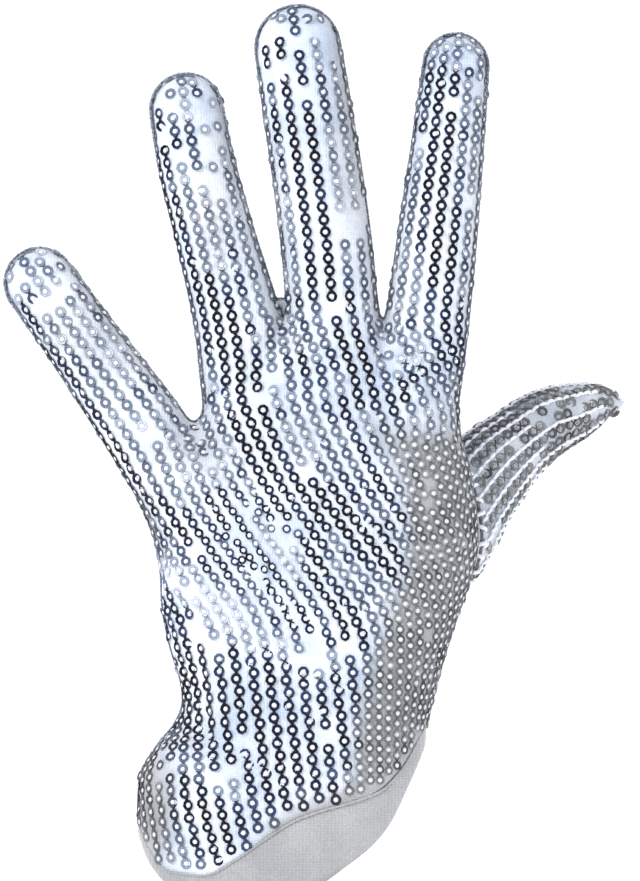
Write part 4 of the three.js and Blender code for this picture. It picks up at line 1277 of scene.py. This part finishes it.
def sheet_lines(sheet):
    """Sequin lines of one face with their row numbers, the middle rows of each finger first, halves last."""
    body = body_lines(sheet)
    middle_first = sorted(range(FINGER_SEQUIN_ROWS), key=lambda row: abs(row - FINGER_SEQUIN_ROWS // 2))
    lines = []
    for row in middle_first:
        for f in range(len(FINGER_PATHS)):
            number = f * FINGER_SEQUIN_ROWS + row
            below = body.pop(number)
            lines.append((number, np.vstack([below[::-1], finger_lines(sheet, f)[row][1:]])))
    others = sorted(body, key=lambda number: (number != int(number), -number))
    return lines + [(number, body[number][::-1]) for number in others]


def thumb_lines(side):
    """Sequin lines along half of the thumb, every second one first, as there is room for fewer at the tip."""
    angles = side * np.pi * (np.arange(THUMB_SEQUIN_ROWS) + 0.5) / THUMB_SEQUIN_ROWS
    start = thumb_start(angles, THUMB_ROW_START)
    lines = []
    for angle, first in zip(angles, start):
        at = np.linspace(first, len(THUMB_PATH) - 1, THUMB_ROW_POINTS)
        lines.append((len(lines), thumb_points(at, np.full(len(at), angle))))
    return lines[::2] + lines[1::2]


def pieces_of(line):
    """The unbroken parts of a line whose hidden points are not numbers."""
    shown = ~np.isnan(line[:, 0])
    changes = np.flatnonzero(np.diff(shown.astype(int))) + 1
    return [part for part in np.split(line, changes) if len(part) > 2 and not np.isnan(part[0, 0])]


def spaced_along(line, number):
    """Points at the sequins' pitch along a line, with the line's direction at each.

    Odd rows start half a pitch further on.
    """
    steps = steps_of(line)
    length = running(steps)
    stretched = running(steps / crowding(line)[0][1:])
    first = FIRST_SEQUIN + SEQUIN_PITCH * ((number % 2) / 2 + RANDOM.uniform(0, PHASE_SCATTER))
    at = np.arange(first, stretched[-1] - LAST_SEQUIN, SEQUIN_PITCH)
    at = np.interp(at, stretched, length) + RANDOM.normal(0, SEQUIN_SCATTER, len(at))
    ahead = points_along(line, length, at + 0.5)
    behind = points_along(line, length, at - 0.5)
    return points_along(line, length, at), ahead - behind


def sown(lines, keep):
    """Sequin places from all lines: points, directions and links between neighbours in a line."""
    grid = {}
    points, directions, links = [], [], []
    cell = SEQUIN_CLEARANCE
    around = [(dx, dy, dz) for dx in (-1, 0, 1) for dy in (-1, 0, 1) for dz in (-1, 0, 1)]

    def is_free(point, clearance):
        x, y, z = (int(value) for value in point // cell)
        near = [other for dx, dy, dz in around for other in grid.get((x + dx, y + dy, z + dz), ())]
        return not near or ((np.array(near) - point) ** 2).sum(axis=1).min() > clearance * clearance

    for number, line in [(number, part) for number, line in lines for part in pieces_of(line)]:
        places, along = spaced_along(line, number)
        if not len(places):
            continue
        sizes = crowding(places)[0]
        kept = keep(places)
        if number != int(number):
            kept &= (bunching(places)[0] < HALF_ROWS_UNDER) & (strip_weight(places) < 0.5)
        previous = None
        for place, way, size, good in zip(places, along, sizes, kept):
            if not good or not is_free(place, SEQUIN_CLEARANCE * size):
                previous = None
                continue
            grid.setdefault(tuple(int(value) for value in place // cell), []).append(place)
            points.append(place)
            directions.append(way)
            if previous is not None:
                links.append((previous, len(points) - 1))
            previous = len(points) - 1
    return np.array(points), np.array(directions), np.array(links)


def even_turn(count):
    """Angles spread evenly over a full turn."""
    return 2 * np.pi * np.arange(count) / count


def sequin_shape():
    """A shallow cup with a hole: points and quads round a closed section."""
    inner, outer = SEQUIN_HOLE_RADIUS, SEQUIN_RADIUS
    section = [(inner, 0.0), ((inner + outer) / 2, SEQUIN_HALF_WAY_CUP), (outer, SEQUIN_CUP),
               (outer - SEQUIN_EDGE, SEQUIN_CUP - SEQUIN_SHEET), (inner, -SEQUIN_SHEET)]
    points = [(radius * math.cos(a), radius * math.sin(a), height)
              for a in even_turn(SEQUIN_SIDES) for radius, height in section]
    count = len(section)
    faces = []
    for side in range(SEQUIN_SIDES):
        here, there = side * count, (side + 1) % SEQUIN_SIDES * count
        for i in range(count):
            j = (i + 1) % count
            faces.append((here + i, here + j, there + j, there + i))
    return np.array(points), faces


def knot_shape():
    """The rounded knot of white thread that shows in a sequin's hole."""
    foot = (KNOT_RADIUS, -KNOT_DEPTH)
    shoulder = (0.68 * KNOT_RADIUS, 0.72 * KNOT_RISE)
    points = [(radius * math.cos(a), radius * math.sin(a), height)
              for radius, height in (foot, shoulder) for a in even_turn(KNOT_SIDES)]
    points.append((0, 0, KNOT_RISE))
    top = len(points) - 1
    faces = [tuple(range(KNOT_SIDES))[::-1]]
    for i in range(KNOT_SIDES):
        j = (i + 1) % KNOT_SIDES
        faces += [(i, j, j + KNOT_SIDES, i + KNOT_SIDES), (i + KNOT_SIDES, j + KNOT_SIDES, top)]
    return np.array(points), faces


def laid_flat(directions, up):
    """Unit directions turned into the planes that face up."""
    return unit(directions - (directions * up).sum(axis=1)[:, None] * up)


def facing(field, points, directions):
    """Frames on a surface: across, along and up at each point."""
    up = normals_of(field, points)
    along = laid_flat(directions, up)
    return np.cross(along, up), along, up


def leaned(across, along, up):
    """The same frames, each leaned a little at random, as loosely sewn sequins are."""
    lean = RANDOM.normal(0, SEQUIN_LEAN, (len(up), 2))
    tilted = unit(up + across * lean[:, :1] + along * lean[:, 1:])
    flat = laid_flat(along, tilted)
    return np.cross(flat, tilted), flat, tilted


def smooth_noise(points, reach, seed):
    """Slow random variation over space, about -1 to 1, from a few waves of about one length."""
    source = np.random.default_rng(seed)
    total = np.zeros(len(points))
    for _ in range(NOISE_WAVES):
        direction = source.normal(size=3)
        direction /= np.linalg.norm(direction) * reach * source.uniform(0.6, 1.4) / (2 * np.pi)
        total += np.sin(points @ direction + source.uniform(0, 2 * np.pi))
    return total / 3


def sequin_shades(points, shade):
    """How pale each sequin is: 0 for navy, 1 for pale steel. The given shade holds painted highlight; the
    noise adds the sequins' own random tone.
    """
    slow = smooth_noise(points, reach=46, seed=5)
    quick = smooth_noise(points, reach=15, seed=8)
    single = RANDOM.normal(0, SINGLE_SHADE, len(points))
    return np.clip(shade + SLOW_SHADE * slow + QUICK_SHADE * quick + single, 0, 1)


def link_strands(points, up, across, sizes, links):
    """Two threads crossed between each pair of neighbouring sequins, as three-sided strands."""
    first, second = links.T
    way = unit(points[second] - points[first])
    reach = SEQUIN_RADIUS * sizes[first][:, None]
    rise = up[first] * (SEQUIN_SEAT + SEQUIN_CUP * LINK_RISE_SHARE)
    strands = []
    for sign in (-1, 1):
        aside = across[first] * sign * reach * LINK_SIDE_SHARE
        start = points[first] + way * reach * LINK_END_SHARE + aside + rise
        end = points[second] - way * reach * LINK_END_SHARE - aside + rise
        strands.append(np.stack([start, end], axis=1))
    strands = np.concatenate(strands)
    ups = np.concatenate([up[first]] * 2)
    aside = np.cross(unit(strands[:, 1] - strands[:, 0]), ups)
    radius = LINK_RADIUS * np.concatenate([sizes[first]] * 2)[:, None]
    corners = []
    for end in (0, 1):
        for angle in (math.pi / 2, math.pi * 7 / 6, math.pi * 11 / 6):
            corners.append(strands[:, end] + radius * (ups * math.sin(angle) + aside * math.cos(angle)))
    faces = [(0, 1, 2), (5, 4, 3), (0, 3, 4, 1), (1, 4, 5, 2), (2, 5, 3, 0)]
    return np.stack(corners, axis=1), faces


def sew_sequins(name, lines, field, keep, look=None):
    """Sequins, knots and links on one part.

    A look is a size of sequins, a size of knots, a shade and a share of grey, the same for all of them.
    """
    points, directions, links = sown(lines, keep)
    across, along, up = facing(field, points, directions)
    sizes, _, knots = crowding(points)
    shade, greys = tones(points, field)
    if look:
        sizes, knots, shade, greys = (np.full(len(points), value) for value in look)
    seats = points + up * SEQUIN_SEAT
    # The sequins' shade holds painted highlight with their own random tone, and their grey is painted shade;
    # knots and links take the same.
    tone = {"shade": sequin_shades(points, shade), "grey": greys}
    shape, faces = sequin_shape()
    leaning = [axis * sizes[:, None] for axis in leaned(across, along, up)]
    sequins = copies_object(f"sequins_{name}", shape, faces, (seats, *leaning), SEQUIN, tone)
    shape, faces = knot_shape()
    broad = [axis * (sizes * knots)[:, None] for axis in (across, along)]
    knot_frames = (seats, *broad, up * sizes[:, None])
    knot_thread = PAINTED_SHADE_KNOT if look else KNOT
    stitches = copies_object(f"sequin_knots_{name}", shape, faces, knot_frames, knot_thread, tone)
    strands, faces = link_strands(points, up, across, sizes, links)
    link_tone = {key: np.concatenate([values[links[:, 0]]] * 2) for key, values in tone.items()}
    threads = joined_object(f"sequin_links_{name}", strands, faces, LINK, link_tone, smooth=False)
    for piece in (sequins, stitches, threads):
        sew(piece)
    print(name, "sequins", len(points))


def still_sewn(points):
    """Which sequins are left: a few are lost everywhere, and more in the bare patches."""
    lost = np.full(len(points), LOST_SHARE)
    for x, z, reach, share in BARE_PATCHES:
        near = np.hypot(points[:, 0] - x, points[:, 2] - z) < reach
        lost = np.where(near & (points[:, 1] < BARE_PATCH_DEPTH), share, lost)
    return RANDOM.random(len(points)) > lost


def off_the_thumb(points):
    """Which sequins of the body stand clear of the thumb, and are left."""
    return (thumb_field(points) > CLEAR_OF_THUMB) & still_sewn(points)


sew_sequins("back", sheet_lines(SHEETS[BACK]), glove_field, off_the_thumb)
sew_sequins("palm", sheet_lines(SHEETS[PALM]), glove_field, off_the_thumb)


def off_the_body(points):
    """Which sequins of the thumb stand clear of the body, and are left."""
    return (glove_field(points) > CLEAR_OF_BODY) & (RANDOM.random(len(points)) > THUMB_LOST_SHARE)


THUMB_LOOK = (THUMB_SEQUIN_SIZE, THUMB_KNOT, THUMB_SHADE, THUMB_GREY)
sew_sequins("thumb", thumb_lines(BACK) + thumb_lines(PALM), thumb_field, off_the_body, THUMB_LOOK)


# Seams


def sew_cord(name, path, radius, material):
    """A round cord along a path of points, closed at both ends."""
    before = np.vstack([path[:1], path[:-1]])
    after = np.vstack([path[1:], path[-1:]])
    along = unit(after - before)
    aside = unit(np.cross(along, [0, 1, 0]))
    deep = np.cross(aside, along)
    rings = [path + radius * (math.cos(a) * aside + math.sin(a) * deep) for a in even_turn(CORD_SIDES)]
    points = np.stack(rings, axis=1).reshape(-1, 3)
    cord = solid_object(name, points, tube_faces(len(path), CORD_SIDES), material)
    sew(cord)


def even_path(path, pitch):
    """The same path with points at an even pitch."""
    length = running(steps_of(path))
    return points_along(path, length, np.linspace(0, length[-1], max(int(length[-1] / pitch), 2)))


def side_seams():
    """The lines where back and palm meet, one down each side and one round each space between fingers."""
    sheet = SHEETS[BACK]
    loops = []
    up_left = [finger[:, 0] for finger in sheet.fingers]
    up_right = [finger[:, -1] for finger in sheet.fingers]
    first = np.vstack([sheet.body[::-1, 0], up_left[0][1:], sheet.poles[:1]])
    loops.append(first)
    for f in range(len(FINGER_PATHS) - 1):
        down = np.vstack([sheet.poles[f:f + 1], up_right[f][::-1]])
        loops.append(np.vstack([down, up_left[f + 1][1:], sheet.poles[f + 1:f + 2]]))
    loops.append(np.vstack([sheet.poles[-1:], up_right[-1][::-1], sheet.body[1:, -1]]))
    for loop in loops:
        loop[:, 1] = 0
    return [even_path(loop, SEAM_POINT_PITCH) for loop in loops]


def stitch_frames(path, field, pitch, slant):
    """Frames for stitches laid across a path, each slanted the other way from the last."""
    places = even_path(path, pitch)
    along = np.gradient(places, axis=0)
    across, along, up = facing(field, places, along)
    turn = np.where(np.arange(len(places)) % 2, slant, -slant)[:, None]
    lean_along = along * np.cos(turn) + across * np.sin(turn)
    return places, np.cross(lean_along, up), lean_along, up


def stitch_bar(length, radius):
    """A short arched strand of thread that lies along X with its ends in the cloth."""
    points = []
    for t in np.linspace(0, 1, STITCH_RINGS):
        rise = math.sin(math.pi * t) * radius * 1.6 - radius * 0.6
        for a in even_turn(STITCH_SIDES):
            points.append(((t - 0.5) * length, radius * math.cos(a), rise + radius * math.sin(a)))
    return np.array(points), tube_faces(STITCH_RINGS, STITCH_SIDES)


def sew_stitches(name, paths, field, stitches, material):
    """Stitches of one kind across some paths, as one piece."""
    length, radius, pitch, slant, lift = stitches
    frames = [stitch_frames(path, field, pitch, slant) for path in paths]
    places, across, along, up = (np.concatenate(parts) for parts in zip(*frames))
    shape, faces = stitch_bar(length, radius)
    sew(copies_object(name, shape, faces, (places + up * lift, across, along, up), material))


def make_side_seams():
    """The dark seam edge with its stitches, down both sides and round the spaces between fingers."""
    for i, path in enumerate(side_seams()):
        name = ("outer", "little_and_ring", "ring_and_middle", "middle_and_index", "thumb_side")[i]
        out = normals_of(glove_field, path)
        sew_cord(f"seam_{name}", path + out * SEAM_LIFT, SEAM_RADIUS, SEAM_CLOTH)
        sew_stitches(f"seam_stitches_{name}", [path], glove_field, SEAM_STITCHES, SEAM_THREAD)


def make_thumb_seam():
    """The wide overlock of white thread round the thumb's root."""
    angles = np.linspace(0, 2 * np.pi, ROOT_SEAM_POINTS)
    start = thumb_start(angles, ROOT_SEAM_CLEARANCE)
    path = even_path(thumb_points(start, angles), ROOT_POINT_PITCH)
    sew_cord("thumb_root_seam", path, ROOT_SEAM_RADIUS, GREY_CLOTH_EDGE)
    sew_stitches("thumb_root_stitches", [path], thumb_field, ROOT_STITCHES, WHITE_THREAD)


def thumb_side(angle, clearance, end_short):
    """Line along the thumb at an angle from its side seam, from the root towards the tip."""
    first = thumb_start(np.array([angle]), clearance)[0]
    at = np.linspace(first, len(THUMB_PATH) - end_short, ROW_POINTS)
    return thumb_points(at, np.full(len(at), angle))


def make_band_seam():
    """The knit edge that is sewn over the join between the band and the panels."""
    ring = band_ring(1.0) + np.array([0, 0, SEAM_GAP / 2])
    path = even_path(np.vstack([ring, ring[:1]]), BAND_POINT_PITCH)
    path -= normals_of(glove_field, path) * BAND_SEAM_SINK
    sew_cord("band_seam", path, BAND_SEAM_RADIUS, BAND)


def make_thumb_side_seams():
    """The seams along the thumb's two sides."""
    for angle, name in ((0.0, "outer"), (math.pi, "inner")):
        path = even_path(thumb_side(angle, THUMB_SEAM_CLEARANCE, THUMB_SEAM_END), SEAM_POINT_PITCH)
        sew_cord(f"thumb_seam_{name}", path, SEAM_RADIUS, GREY_CLOTH_EDGE)


def make_thumb_row_threads():
    """White chain stitches between the thumb's rows of sequins. Every second one stops short of the tip."""
    for side, side_name in ((BACK, "back"), (PALM, "palm")):
        lines = []
        for row in range(1, THUMB_SEQUIN_ROWS):
            end_short = LONG_ROW_END if row % 2 else SHORT_ROW_END
            angle = side * math.pi * row / THUMB_SEQUIN_ROWS
            lines.append(thumb_side(angle, ROW_THREAD_CLEARANCE, end_short))
        sew_stitches(f"thumb_row_threads_{side_name}", lines, thumb_field, ROW_STITCHES, WHITE_THREAD)


make_side_seams()
make_thumb_seam()
make_thumb_side_seams()
make_thumb_row_threads()
make_band_seam()


# Stage, light and camera

FLOOR_HEIGHT = -0.075
BACKDROP_START = 2.0
BACKDROP_RADIUS = 0.5
FLOOR_GLOW = 0.14
BACKDROP_HEIGHT = 3.5
FLOOR_REACH = 4.0
VIEW_CENTRE = (0.0108, 0.0, 0.1106)
VIEW_HEIGHT = 0.2379
CAMERA_DISTANCE = 1.3


def make_floor():
    """A pale floor that curves up behind the glove."""
    profile = [(-FLOOR_REACH, 0), (BACKDROP_START, 0)]
    for angle in np.linspace(0.1, math.pi / 2, 14):
        out, up = BACKDROP_RADIUS * math.sin(angle), BACKDROP_RADIUS * (1 - math.cos(angle))
        profile.append((BACKDROP_START + out, up))
    profile.append((BACKDROP_START + BACKDROP_RADIUS, BACKDROP_HEIGHT))
    points = [(x, y, FLOOR_HEIGHT + z) for y, z in profile for x in (-FLOOR_REACH, FLOOR_REACH)]
    faces = [(2 * i, 2 * i + 1, 2 * i + 3, 2 * i + 2) for i in range(len(profile) - 1)]
    floor = mesh_object("studio_floor", np.array(points) / MM, faces, floor_material())


def make_light(name, place, energy, size):
    """A soft square light that is turned towards the glove."""
    light = bpy.data.lights.new(name, "AREA")
    light.energy = energy
    light.size = size
    obj = placed(name, light)
    obj.location = place
    target = np.array(VIEW_CENTRE) - np.array(place)
    obj.rotation_euler = Vector(target).to_track_quat("-Z", "Y").to_euler()


def make_world():
    """Even, faintly blue light from all round."""
    world = bpy.data.worlds.new("studio")
    world.use_nodes = True
    background = world.node_tree.nodes["Background"]
    background.inputs["Color"].default_value = (0.93, 0.95, 1.0, 1)
    background.inputs["Strength"].default_value = 0.84
    bpy.context.scene.world = world


def make_camera():
    """The camera straight in front of the back of the glove, framed as the photo is."""
    data = bpy.data.cameras.new("photo_camera")
    data.sensor_width = 36
    data.sensor_fit = "AUTO"
    data.lens = 36 * CAMERA_DISTANCE / VIEW_HEIGHT
    camera = placed("photo_camera", data)
    camera.location = (VIEW_CENTRE[0], -CAMERA_DISTANCE, VIEW_CENTRE[2])
    camera.rotation_euler = (math.pi / 2, 0, 0)
    bpy.context.scene.camera = camera


make_floor()
make_world()
make_light("key_from_upper_left", (-0.9, -0.9, 1.1), 18, 0.9)
make_light("fill_from_right", (1.2, -0.7, 0.4), 5, 1.0)
make_light("rim_from_behind", (0.3, 1.0, 0.9), 9, 0.8)
make_camera()
bpy.context.scene.view_settings.view_transform = "Standard"
